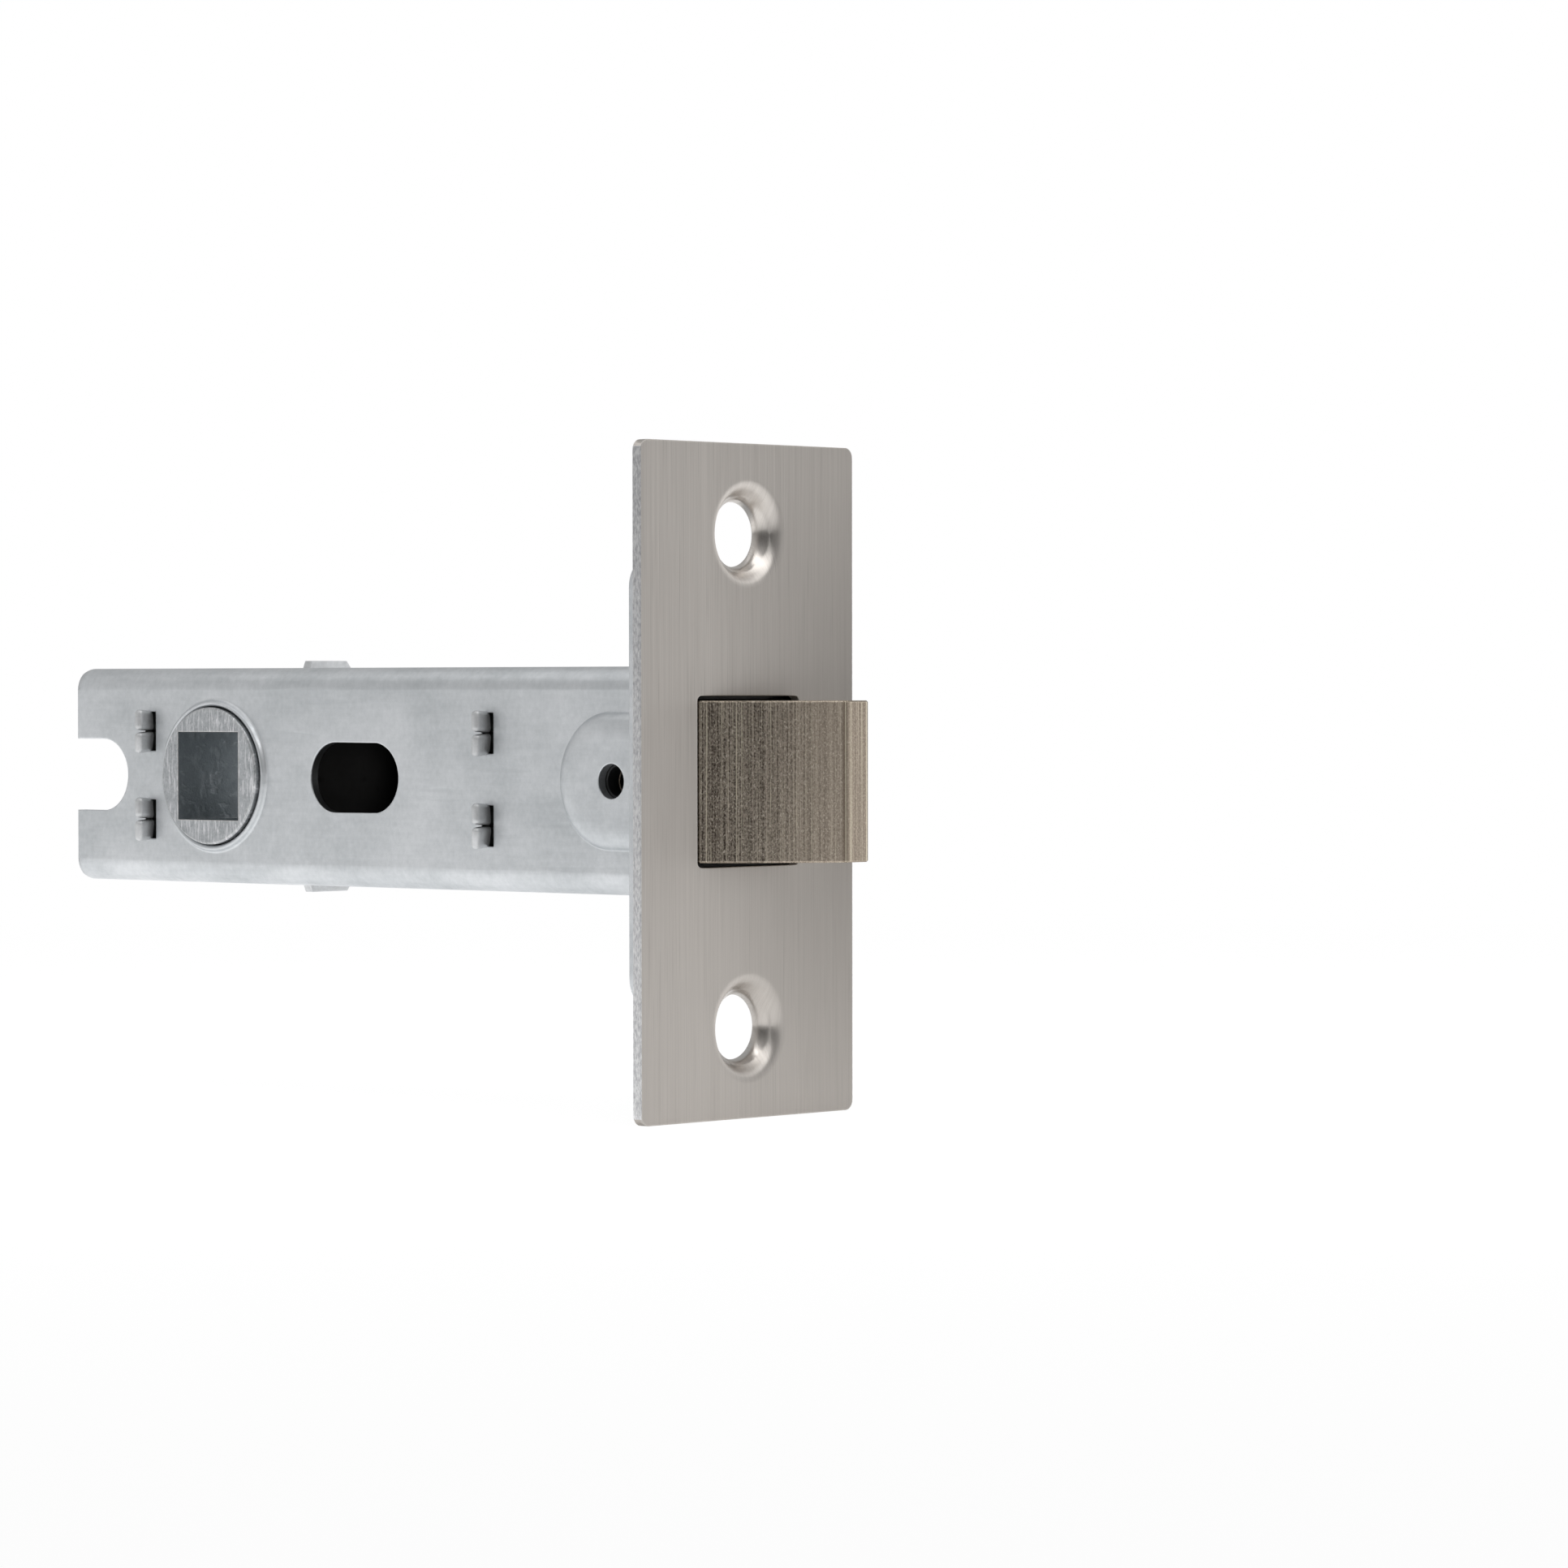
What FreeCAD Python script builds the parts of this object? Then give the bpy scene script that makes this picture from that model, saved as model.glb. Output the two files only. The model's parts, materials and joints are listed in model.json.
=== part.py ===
import FreeCAD, Part
import math
import os
import re
import Sketcher

# A tubular door latch for a timber door. It is let into the door's edge: the forend plate lies flush
# with the edge, the sheet steel case runs back into a round or square bore, and a square spindle
# passes through the hub at the backset distance.
# Frame: X runs along the case, with the outer face of the forend at X = 0 and the bolt towards +X.
# Z is up and down the door's edge. Y is through the door, and the channel's web is its -Y side.
# Millimetres.

V = FreeCAD.Vector
doc = FreeCAD.newDocument("tubular_latch")
sheet = doc.addObject("Spreadsheet::Sheet", "Sizes")

# Each row is an alias, its value or formula, and what it is. Later rows may use earlier ones.
SIZES = (
    ("backset", "59.2", "forend face to hub axis"),
    ("rear_reach", "18.8", "hub axis to the rear end of the case"),
    ("case_length", "=backset + rear_reach", "forend face to the rear end of the case"),
    ("case_height", "19.8", "outside, along Z"),
    ("case_depth", "15.6", "outside, along Y"),
    ("case_sheet", "0.9", "thickness of the case and of the plates inside it"),
    ("case_bend", "2", "outside radius of the channel's two bends"),
    ("rear_cut", "0.25", "corner cut at the rear end of the web, along X"),
    ("rear_cut_z", "0.5", "corner cut at the rear end of the web, along Z"),
    ("flange_setback", "0.8", "how far the flanges stop short of the web at the rear"),
    ("half_height", "=case_height / 2", "outer face of a flange"),
    ("half_depth", "=case_depth / 2", "outer face of the web"),
    ("inner_z", "=half_height - case_sheet", "inner face of a flange"),
    ("inner_y", "=half_depth - case_sheet", "inner face of the web"),
    ("seat_gap", "0.04", "clearance of a plate that is seated in the case"),
    ("plate_y", "=inner_y - seat_gap", "edge of an inner plate along Y"),
    ("plate_z", "=inner_z - seat_gap", "edge of an inner plate along Z"),
    ("forend_width", "27.25", "outer forend plate"),
    ("forend_height", "58.2", "outer forend plate"),
    ("forend_sheet", "0.95", "outer forend plate"),
    ("forend_corner", "0.9", "corner radius of the outer forend plate"),
    ("forend_edge", "0.15", "broken edge of the outer forend plate's face"),
    ("back_width", "26.2", "inner forend plate"),
    ("back_height", "38.6", "inner forend plate"),
    ("back_sheet", "0.9", "inner forend plate"),
    ("back_corner", "2.75", "corner radius of the inner forend plate"),
    ("mouth", "=forend_sheet + back_sheet", "depth of the case's mouth behind the forend face"),
    ("screw_spacing", "42.6", "between the two forend screws, along Z"),
    ("screw_hole", "5.6", "diameter of the screw hole"),
    ("dimple_mouth", "8.4", "diameter of the pressed countersink at the face"),
    ("dimple_depth", "2.2", "how far the pressed countersink reaches behind the face"),
    ("dimple_wall", "0.8", "sheet thickness round the screw hole"),
    ("dimple_roll", "0.45", "width of the rolled edge round the countersink's mouth"),
    ("dimple_relief", "4.9", "radius of the half-round cut in the inner plate"),
    ("stake_width", "7", "tabs at the case's mouth that hold the inner plate"),
    ("bolt_width", "12.6", "bolt along Y"),
    ("bolt_height", "13.9", "bolt along Z"),
    ("bolt_throw", "8.4", "how far the bolt stands out of the forend"),
    ("bolt_nose", "2.8", "flat end of the bolt along Y"),
    ("bolt_bevel", "52", "radius of the slightly crowned bevel"),
    ("bolt_edge", "0.5", "rounding of the bolt's nose"),
    ("bolt_arris", "0.12", "broken edge along the bolt's sawn faces"),
    ("bolt_tail", "15", "forend face to the back of the bolt head"),
    ("opening_y", "0.25", "gap between bolt and forend along Y"),
    ("opening_z", "0.4", "gap between bolt and forend along Z"),
    ("opening_corner", "0.5", "corner radius of the bolt's opening"),
    ("running_gap", "0.08", "clearance of a piece that slides or turns"),
    ("guide_end", "17.2", "forend face to the back of the bolt guide"),
    ("shank_radius", "2.5", "bolt shank"),
    ("shank_front", "4.5", "forend face to the shank's end inside the bolt head"),
    ("spring_pocket", "10", "forend face to the bottom of the bolt's spring pocket"),
    ("pocket_radius", "4.6", "bolt's spring pocket"),
    ("pin_place", "8.1", "forend face to the cross pin in the bolt"),
    ("pin_radius", "1.3", "cross pin in the bolt"),
    ("pin_sunk", "0.15", "how far each end of the cross pin lies below the bolt's face"),
    ("pin_sight", "1.55", "radius of the hole in the case over the cross pin"),
    ("front_place", "24.15", "forend face to the middle of the front bulkhead"),
    ("rear_stand", "8.9", "hub axis to the middle of the rear bulkhead"),
    ("rear_place", "=backset + rear_stand", "forend face to the middle of the rear bulkhead"),
    ("guide_stand", "9.15", "hub axis to the middle of the guide plate"),
    ("guide_place", "=backset - guide_stand", "forend face to the middle of the guide plate"),
    ("half_sheet", "=case_sheet / 2", "half a plate's thickness"),
    ("tab_low", "2.3", "near side of a staked tab along Z"),
    ("tab_high", "5.85", "far side of a staked tab along Z"),
    ("tab_proud", "1.6", "how far a staked tab stands out of the case"),
    ("tab_notch", "1.35", "depth of the chisel cut that spreads a tab"),
    ("tab_notch_half", "0.55", "half the mouth of that chisel cut"),
    ("tab_round", "0.3", "rounding of a tab's end"),
    ("tab_slack", "0.5", "extra length of a tab's slot towards the forend"),
    ("ear_middle", "-2.2", "middle of the guide plate's ears along Y"),
    ("ear_half", "2.6", "half the width of an ear at the case"),
    ("ear_proud", "0.65", "how far an ear stands out of the case"),
    ("ear_cut", "0.55", "corner cut of an ear"),
    ("cross_half", "4.1", "half the width of the guide plate between the yoke's legs"),
    ("cross_arm", "3.3", "half the height of the guide plate's side arms"),
    ("emboss_middle", "9", "forend face to the centre of the emboss's round end"),
    ("emboss_foot", "5.8", "half the height of the emboss at its foot"),
    ("emboss_top", "4.6", "half the height of the emboss at its flat top"),
    ("emboss_rise", "0.95", "how far the emboss stands out of the web"),
    ("emboss_round", "0.6", "rounding of the emboss's top edge"),
    ("emboss_foot_round", "0.5", "rounding between the emboss and the web"),
    ("bolt_centres", "38", "between the two through-bolts, which stand either side of the spindle"),
    ("slot_shift", "0.55", "how far the slot's middle lies behind its through-bolt"),
    ("slot_place", "=backset - bolt_centres / 2 + slot_shift", "forend face to the slot's middle"),
    ("slot_length", "11.3", "through-bolt slot"),
    ("slot_height", "6.35", "through-bolt slot"),
    ("slot_radius", "=slot_height / 2", "round ends of the through-bolt slot"),
    ("notch_radius", "3.35", "half the height of the rear notch"),
    ("notch_spare", "3.85", "how far the rear notch's round end lies in front of its through-bolt"),
    ("notch_middle", "=backset + bolt_centres / 2 - notch_spare", "centre of the notch's round end"),
    ("hub_radius", "6.3", "hub's journal"),
    ("hub_square", "8.1", "spindle hole"),
    ("hub_half", "8.6", "half the hub's length along Y"),
    ("collar_radius", "7.3", "outside of the drawn collar round the hub"),
    ("collar_rise", "0.5", "how far the drawn collar stands out"),
    ("collar_round", "0.3", "rounding of the collar's outer edge"),
    ("collar_lip", "0.35", "rounding of the collar's inner edge"),
    ("hub_hole", "=hub_radius + running_gap", "hub's hole in the case"),
    ("horn_angle", "50", "rest angle of a horn from the case's axis, degrees"),
    ("horn_reach", "7.6", "hub axis to the centre of a horn's round tip"),
    ("horn_tip", "0.9", "radius of a horn's tip"),
    ("horn_root", "1.5", "half the width of a horn where it leaves the hub"),
    ("horn_half", "4", "half the thickness of the horns along Y"),
    ("hub_shoulder", "6.6", "radius of the hub between the walls, which keeps it in"),
    ("washer_radius", "7", "outside of the hub's wear washer"),
    ("washer_sheet", "0.45", "thickness of the hub's wear washer"),
    ("yoke_sheet", "1", "thickness of the yoke"),
    ("yoke_half", "5.4", "outer face of the yoke's legs"),
    ("yoke_z", "8.7", "half the height of the yoke"),
    ("yoke_rest", "0.2", "gap between the yoke's web and the front bulkhead"),
    ("yoke_bend", "1.3", "outside radius of the yoke's bends"),
    ("drive_stand", "3.8", "hub axis to the faces that the horns push"),
    ("drive_face", "=backset - drive_stand", "forend face to the faces that the horns push"),
    ("drive_low", "6.9", "near side of a drive tab along Z"),
    ("drive_inner", "1.5", "inner end of a drive tab along Y"),
    ("window_z", "3.6", "half the height of the yoke's window"),
    ("fork_stand", "15", "hub axis to the front of the fork round the hub"),
    ("fork_front", "=backset - fork_stand", "forend face to the front of the fork round the hub"),
    ("fork_z", "6.75", "half the height of the fork round the hub"),
    ("washer_thick", "1.3", "tail washer on the bolt's shank"),
    ("tail_radius", "3.4", "outside of the tail washer"),
    ("rivet_radius", "1.8", "reduced end of the shank"),
    ("rivet_head", "0.7", "closed end of the shank behind the tail washer"),
    ("return_place", "6.2", "height of the return springs above and below the axis"),
    ("return_radius", "1.85", "mean radius of a return spring"),
    ("return_wire", "0.7", "wire of a return spring"),
    ("return_turns", "8", "turns of a return spring"),
    ("bolt_spring_radius", "3.6", "mean radius of the bolt's spring"),
    ("bolt_spring_wire", "0.9", "wire of the bolt's spring"),
    ("bolt_spring_turns", "5", "turns of the bolt's spring"),
    ("spring_pin_radius", "1.15", "guide pin inside a return spring"),
    ("spring_pin_neck", "0.9", "riveted neck of the guide pin"),
    ("spring_pin_head", "1.7", "riveted head of the guide pin"),
    ("spring_pin_head_thick", "0.6", "riveted head of the guide pin"),
    ("web_front", "=front_place + half_sheet + yoke_rest", "front face of the yoke's web"),
    ("web_back", "=web_front + yoke_sheet", "back face of the yoke's web"),
    ("window_stand", "3", "yoke's web to the window in its legs, which clears the through-bolt"),
    ("window_front", "=web_back + window_stand", "front of the yoke's window"),
    ("tail_front", "=web_back + seat_gap", "front face of the tail washer"),
    ("tail_back", "=tail_front + washer_thick", "back face of the tail washer"),
    ("guide_front", "=guide_place - half_sheet", "front face of the guide plate"),
    ("guide_back", "=guide_place + half_sheet", "back face of the guide plate"),
    ("spring_pin_spare", "3.87", "room in front of a guide pin when the bolt is drawn in"),
    ("spring_pin_length", "=guide_front - web_back - bolt_throw - spring_pin_spare", "pin to its tip"),
)
ALIASES = set()
for row, (alias, value, note) in enumerate(SIZES, 1):
    sheet.set("A%d" % row, alias)
    sheet.set("B%d" % row, value)
    sheet.set("C%d" % row, note)
    sheet.setAlias("B%d" % row, alias)
    ALIASES.add(alias)
doc.recompute()

PAST = "2"          # how far a cutting tool runs past the face it cuts
FACETS = 5          # sides of a spring's wire
STEPS = 10          # straight lengths in one turn of a spring


def formula(text):
    """The same formula with each alias read from the sheet."""
    return re.sub(r"[A-Za-z_]\w*", lambda m: "Sizes." + m[0] if m[0] in ALIASES else m[0], text)


def size(text):
    """The present value of a formula."""
    return float(sheet.evalExpression(formula(text)))


def bind(thing, prop, text):
    thing.setExpression(prop, formula(text))


def block(name, x, y, z):
    """A box between two corners, each of x, y and z being a low and a high formula."""
    box = doc.addObject("Part::Box", name)
    for prop, place, (low, high) in (("Length", "x", x), ("Width", "y", y), ("Height", "z", z)):
        bind(box, prop, "(%s) - (%s)" % (high, low))
        bind(box, "Placement.Base." + place, low)
    return box


TURN = {
    "x": FreeCAD.Rotation(V(0, 1, 0), 90),
    "y": FreeCAD.Rotation(V(1, 0, 0), -90),
    "z": FreeCAD.Rotation(),
}


def stand(thing, axis, low, centre):
    """Places a round thing along an axis from low, with its centre given by the other two places."""
    thing.Placement = FreeCAD.Placement(V(), TURN[axis])
    places = dict(zip([a for a in "xyz" if a != axis], centre))
    places[axis] = low
    for place, text in places.items():
        bind(thing, "Placement.Base." + place, text)
    return thing


def rod(name, axis, radius, low, high, centre):
    """A cylinder along an axis from low to high."""
    cylinder = doc.addObject("Part::Cylinder", name)
    bind(cylinder, "Radius", radius)
    bind(cylinder, "Height", "(%s) - (%s)" % (high, low))
    return stand(cylinder, axis, low, centre)


def fuse(name, pieces):
    joined = doc.addObject("Part::MultiFuse", name)
    joined.Shapes = pieces
    joined.Refine = True
    return joined


def cut(name, base, tools):
    """The base less all the tools."""
    tool = tools[0]
    if len(tools) > 1:
        tool = fuse(name + "_tools", tools)
    less = doc.addObject("Part::Cut", name)
    less.Base = base
    less.Tool = tool
    less.Refine = True
    return less


def constrain(sketch, corners, arcs=()):
    """Closes an outline of formula pairs, each corner held at its own distances from the origin.
    arcs maps the number of a side to the radius of the arc that takes its place, bulging outwards
    on the right-hand side of the direction of travel."""
    spots = [V(size(across), size(up), 0) for across, up in corners]
    count = len(spots)
    for index in range(count):
        start = spots[index]
        end = spots[(index + 1) % count]
        if index in dict(arcs):
            radius = size(dict(arcs)[index])
            chord = end - start
            outward = V(chord.y, -chord.x, 0).normalize()
            rise = radius - math.sqrt(radius ** 2 - (chord.Length / 2) ** 2)
            middle = (start + end) / 2 + outward * rise
            sketch.addGeometry(Part.Arc(start, middle, end), False)
        else:
            sketch.addGeometry(Part.LineSegment(start, end), False)
    ends = {}
    for index in range(count):
        ends[index] = (1, 2)
    for index in dict(arcs):
        # An arc keeps its ends in counter-clockwise order.
        first = sketch.Geometry[index].StartPoint
        if (first - spots[index]).Length > 1e-6:
            ends[index] = (2, 1)
    for index in range(count):
        after = (index + 1) % count
        sketch.addConstraint(Sketcher.Constraint("Coincident", index, ends[index][1], after, ends[after][0]))
    for index, (across, up) in enumerate(corners):
        for kind, text, now in (("DistanceX", across, spots[index].x), ("DistanceY", up, spots[index].y)):
            rule = Sketcher.Constraint(kind, -1, 1, index, ends[index][0], now)
            number = sketch.addConstraint(rule)
            sketch.setExpression("Constraints[%d]" % number, formula(text))
    for index, radius in dict(arcs).items():
        number = sketch.addConstraint(Sketcher.Constraint("Radius", index, size(radius)))
        sketch.setExpression("Constraints[%d]" % number, formula(radius))
    return sketch


FACING = {
    "YZ": FreeCAD.Rotation(V(0, 1, 0), V(0, 0, 1), V(1, 0, 0), "XYZ"),
    "XZ": FreeCAD.Rotation(V(1, 0, 0), 90),
    "XY": FreeCAD.Rotation(),
}


def prism(name, plane, corners, low, high):
    """An outline drawn in a plane and drawn out between two places along the plane's own axis."""
    sketch = doc.addObject("Sketcher::SketchObject", name + "_outline")
    sketch.Placement = FreeCAD.Placement(V(), FACING[plane])
    start, place = {"YZ": (low, "x"), "XZ": (high, "y"), "XY": (low, "z")}[plane]
    bind(sketch, "Placement.Base." + place, start)
    constrain(sketch, corners)
    drawn = doc.addObject("Part::Extrusion", name)
    drawn.Base = sketch
    drawn.DirMode = "Normal"
    drawn.Solid = True
    bind(drawn, "LengthFwd", "(%s) - (%s)" % (high, low))
    return drawn


def edges_where(shape, test):
    """Numbers of the edges whose middle and direction pass a test."""
    found = []
    for number, edge in enumerate(shape.Edges, 1):
        middle = edge.valueAt((edge.FirstParameter + edge.LastParameter) / 2)
        if test(edge, middle):
            found.append(number)
    return found


def runs(edge, axis):
    """Whether a straight edge runs along an axis."""
    if not isinstance(edge.Curve, Part.Line):
        return False
    return abs(abs(edge.Curve.Direction.dot(V(*axis))) - 1) < 1e-6


def near(value, target):
    return abs(value - target) < 1e-3


def is_round(edge, radius):
    """Whether an edge is an arc or circle of a radius."""
    return isinstance(edge.Curve, Part.Circle) and near(edge.Curve.Radius, radius)


def ease(name, base, radius, test, kind="Part::Fillet"):
    """Rounds or chamfers the edges of a thing that pass a test."""
    doc.recompute()
    eased = doc.addObject(kind, name)
    eased.Base = base
    amount = size(radius)
    eased.Edges = [(number, amount, amount) for number in edges_where(base.Shape, test)]
    return eased


def new_body(name):
    body = doc.addObject("PartDesign::Body", name)
    body.Label = name
    return body


def drawing(body, name, plane, place, corners, arcs=(), lift="0"):
    """A sketch on one of the body's own planes, moved along the plane's normal to a place."""
    sketch = body.newObject("Sketcher::SketchObject", name)
    role = plane + "_Plane"
    sketch.AttachmentSupport = [([f for f in body.Origin.OriginFeatures if f.Role == role][0], "")]
    sketch.MapMode = "FlatFace"
    bind(sketch, "AttachmentOffset.Base.z", place)
    bind(sketch, "AttachmentOffset.Base.y", lift)
    if corners:
        constrain(sketch, corners, arcs)
    return sketch


def circle(sketch, radius, across="0", up="0"):
    """A circle held at its centre and radius."""
    spot = V(size(across), size(up), 0)
    index = sketch.addGeometry(Part.Circle(spot, V(0, 0, 1), size(radius)), False)
    for rule, text in (
        (Sketcher.Constraint("DistanceX", -1, 1, index, 3, spot.x), across),
        (Sketcher.Constraint("DistanceY", -1, 1, index, 3, spot.y), up),
        (Sketcher.Constraint("Radius", index, size(radius)), radius),
    ):
        number = sketch.addConstraint(rule)
        sketch.setExpression("Constraints[%d]" % number, formula(text))
    return sketch


def feature(body, kind, name, sketch, length=None):
    """A Pad or Pocket of a given length, or a Revolution or Groove about the sketch's own X axis."""
    made = body.newObject("PartDesign::" + kind, name)
    made.Profile = sketch
    if length is None:
        made.ReferenceAxis = (sketch, ["H_Axis"])
        made.Angle = 360
    else:
        bind(made, "Length", length)
    doc.recompute()
    return made


def round_body(body, name, radius, test):
    """A fillet on the edges of the body's tip that pass a test."""
    doc.recompute()
    tip = body.Tip
    names = ["Edge%d" % number for number in edges_where(tip.Shape, test)]
    fillet = body.newObject("PartDesign::Fillet", name)
    fillet.Base = (tip, names)
    bind(fillet, "Radius", radius)
    doc.recompute()
    return fillet


def bevel_body(body, name, width, test):
    """A chamfer on the edges of the body's tip that pass a test."""
    doc.recompute()
    tip = body.Tip
    names = ["Edge%d" % number for number in edges_where(tip.Shape, test)]
    chamfer = body.newObject("PartDesign::Chamfer", name)
    chamfer.Base = (tip, names)
    bind(chamfer, "Size", width)
    doc.recompute()
    return chamfer


def mirror_up_down(body, name, features):
    mirrored = body.newObject("PartDesign::Mirrored", name)
    mirrored.Originals = features
    mirrored.MirrorPlane = ([f for f in body.Origin.OriginFeatures if f.Role == "XY_Plane"][0], [""])
    body.Tip = mirrored
    doc.recompute()
    return mirrored


def rectangle(across, up):
    """Corners of a rectangle about the origin from its two half sizes."""
    return [("-(%s)" % across, "-(%s)" % up), (across, "-(%s)" % up), (across, up), ("-(%s)" % across, up)]


NODES = {}


def finish(name, thing):
    """Names a finished piece."""
    thing.Label = name
    NODES[name] = thing


# The case

def slot_tools(name, low, high):
    """Cutting tools through one wall of the case for the through-bolt slot and the rear notch."""
    middle_front = "-slot_place + slot_length / 2 - slot_radius"
    middle_rear = "-slot_place - slot_length / 2 + slot_radius"
    return [
        rod(name + "_slot_front", "y", "slot_radius", low, high, (middle_front, "0")),
        rod(name + "_slot_rear", "y", "slot_radius", low, high, (middle_rear, "0")),
        block(name + "_slot", (middle_rear, middle_front), (low, high), ("-slot_radius", "slot_radius")),
        rod(name + "_notch_floor", "y", "notch_radius", low, high, ("-notch_middle", "0")),
        block(name + "_notch", ("-case_length - " + PAST, "-notch_middle"), (low, high),
              ("-notch_radius", "notch_radius")),
        rod(name + "_hub_hole", "y", "hub_hole", low, high, ("-backset", "0")),
    ]


def tab_slots(name, low, high):
    """Cutting tools for the slots of the four staked tabs in one wall."""
    slots = []
    for which in ("front", "rear"):
        span = ("-%s_place - half_sheet - seat_gap" % which, "-%s_place + half_sheet + tab_slack" % which)
        for place, z in (("up", ("tab_low - seat_gap", "tab_high + seat_gap")),
                         ("down", ("-tab_high - seat_gap", "-tab_low + seat_gap"))):
            slots.append(block("_".join((name, which, place)), span, (low, high), z))
    return slots


def collar(name, low, high, outer_face):
    """The ring that is drawn out of a wall round the hub."""
    ring = rod(name + "_ring", "y", "collar_radius", low, high, ("-backset", "0"))
    return ease(name, ring, "collar_round", lambda edge, middle: near(middle.y, size(outer_face)),
                "Part::Chamfer")


def emboss(name, foot_y, sink):
    """The raised end of the web near the forend: a round end and a straight run to the mouth.
    sink is taken off the foot's and the top's half height."""
    top = "emboss_top - (%s)" % sink
    foot = "emboss_foot - (%s)" % sink
    dome = doc.addObject("Part::Cone", name + "_round_end")
    bind(dome, "Radius1", foot)
    bind(dome, "Radius2", top)
    bind(dome, "Height", "emboss_rise")
    dome.Placement = FreeCAD.Placement(V(), FreeCAD.Rotation(V(1, 0, 0), 90))
    bind(dome, "Placement.Base.x", "-emboss_middle")
    bind(dome, "Placement.Base.y", foot_y)
    corners = [(foot_y, "-(%s)" % foot), ("(%s) - emboss_rise" % foot_y, "-(%s)" % top),
               ("(%s) - emboss_rise" % foot_y, top), (foot_y, foot)]
    run = prism(name + "_run", "YZ", corners, "-emboss_middle", "-mouth")
    return fuse(name, [dome, run])


def make_case_channel():
    """The U-shaped channel: web to -Y, a flange above and a flange below."""
    whole = ("-case_length", "-mouth")
    outer = block("channel_outer", whole, ("-half_depth", "half_depth"), ("-half_height", "half_height"))
    outer = ease("channel_bends", outer, "case_bend",
                 lambda edge, middle: runs(edge, (1, 0, 0)) and middle.y < 0)
    long = ("-case_length - " + PAST, "-mouth + " + PAST)
    inner = block("channel_inner", long, ("-inner_y", "half_depth + " + PAST), ("-inner_z", "inner_z"))
    inner = ease("channel_inner_bends", inner, "case_bend - case_sheet",
                 lambda edge, middle: runs(edge, (1, 0, 0)) and middle.y < 0)
    channel = cut("channel_bent", outer, [inner])
    raised = ease("emboss_rounded", emboss("emboss_outside", "-half_depth", "0"), "emboss_round",
                  lambda edge, middle: near(middle.y, -size("half_depth + emboss_rise"))
                  and middle.x < -size("mouth") - 0.1)
    stakes = [block("mouth_stake_up", ("-mouth - seat_gap", "-forend_sheet"),
                    ("-stake_width / 2", "stake_width / 2"), ("inner_z", "half_height")),
              block("mouth_stake_down", ("-mouth - seat_gap", "-forend_sheet"),
                    ("-stake_width / 2", "stake_width / 2"), ("-half_height", "-inner_z"))]
    ring = collar("channel_collar", "-half_depth - collar_rise", "-half_depth + case_sheet / 2",
                  "-half_depth - collar_rise")
    channel = fuse("channel_raised", [channel, raised, ring] + stakes)
    low, high = "-half_depth - " + PAST, "-half_depth + " + PAST + " + case_bend"
    tools = slot_tools("channel", low, high) + tab_slots("channel_tab", low, high)
    tools.append(emboss("emboss_inside", "-inner_y", "case_sheet / 3"))
    tools.append(rod("pin_sight_hole", "y", "pin_sight", low, high, ("-pin_place", "0")))
    ear_x = ("-guide_back - seat_gap", "-guide_front + seat_gap")
    ear_y = ("ear_middle - ear_half - seat_gap", "ear_middle + ear_half + seat_gap")
    tools.append(block("ear_slots", ear_x, ear_y, ("-half_height - " + PAST, "half_height + " + PAST)))
    rear = ("-case_length - " + PAST, "-case_length + flange_setback")
    for place, z in (("up", ("half_height - case_bend", "half_height + " + PAST)),
                     ("down", ("-half_height - " + PAST, "-half_height + case_bend"))):
        tools.append(block("flange_end_" + place, rear, ("-half_depth + case_bend", "half_depth + " + PAST), z))
    for place, sign in (("up", ""), ("down", "-")):
        corners = [("-case_length - rear_cut", "%s(half_height - rear_cut_z * 2)" % sign),
                   ("-case_length + rear_cut", "%shalf_height" % sign),
                   ("-case_length + rear_cut", "%s(half_height + 1)" % sign),
                   ("-case_length - rear_cut", "%s(half_height + 1)" % sign)]
        tools.append(prism("rear_corner_" + place, "XZ", corners, "-half_depth - 1", "half_depth + 1"))
    channel = cut("channel_pierced", channel, tools)
    foot = size("emboss_foot")
    web = size("half_depth")
    channel = ease("emboss_foot_rounded", channel, "emboss_foot_round",
                   lambda edge, middle: near(middle.y, -web) and (
                       (runs(edge, (1, 0, 0)) and near(abs(middle.z), foot))
                       or is_round(edge, foot)))
    lip = size("half_depth + collar_rise")
    hole = size("hub_hole")
    finish("case_channel", ease("case_channel", channel, "collar_lip",
                                lambda edge, middle: near(middle.y, -lip) and is_round(edge, hole),
                                "Part::Chamfer"))


def make_case_cover():
    """The flat plate that closes the channel on the +Y side, held between the flanges."""
    plate = block("cover_plate", ("-case_length + flange_setback", "-mouth"), ("inner_y", "half_depth"),
                  ("-plate_z", "plate_z"))
    ring = collar("cover_collar", "half_depth - case_sheet / 2", "half_depth + collar_rise",
                  "half_depth + collar_rise")
    raised = fuse("cover_raised", [plate, ring])
    low, high = "inner_y - " + PAST, "half_depth + " + PAST
    tools = slot_tools("cover", low, high) + tab_slots("cover_tab", low, high)
    finish("case_cover", cut("case_cover", raised, tools))


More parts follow.
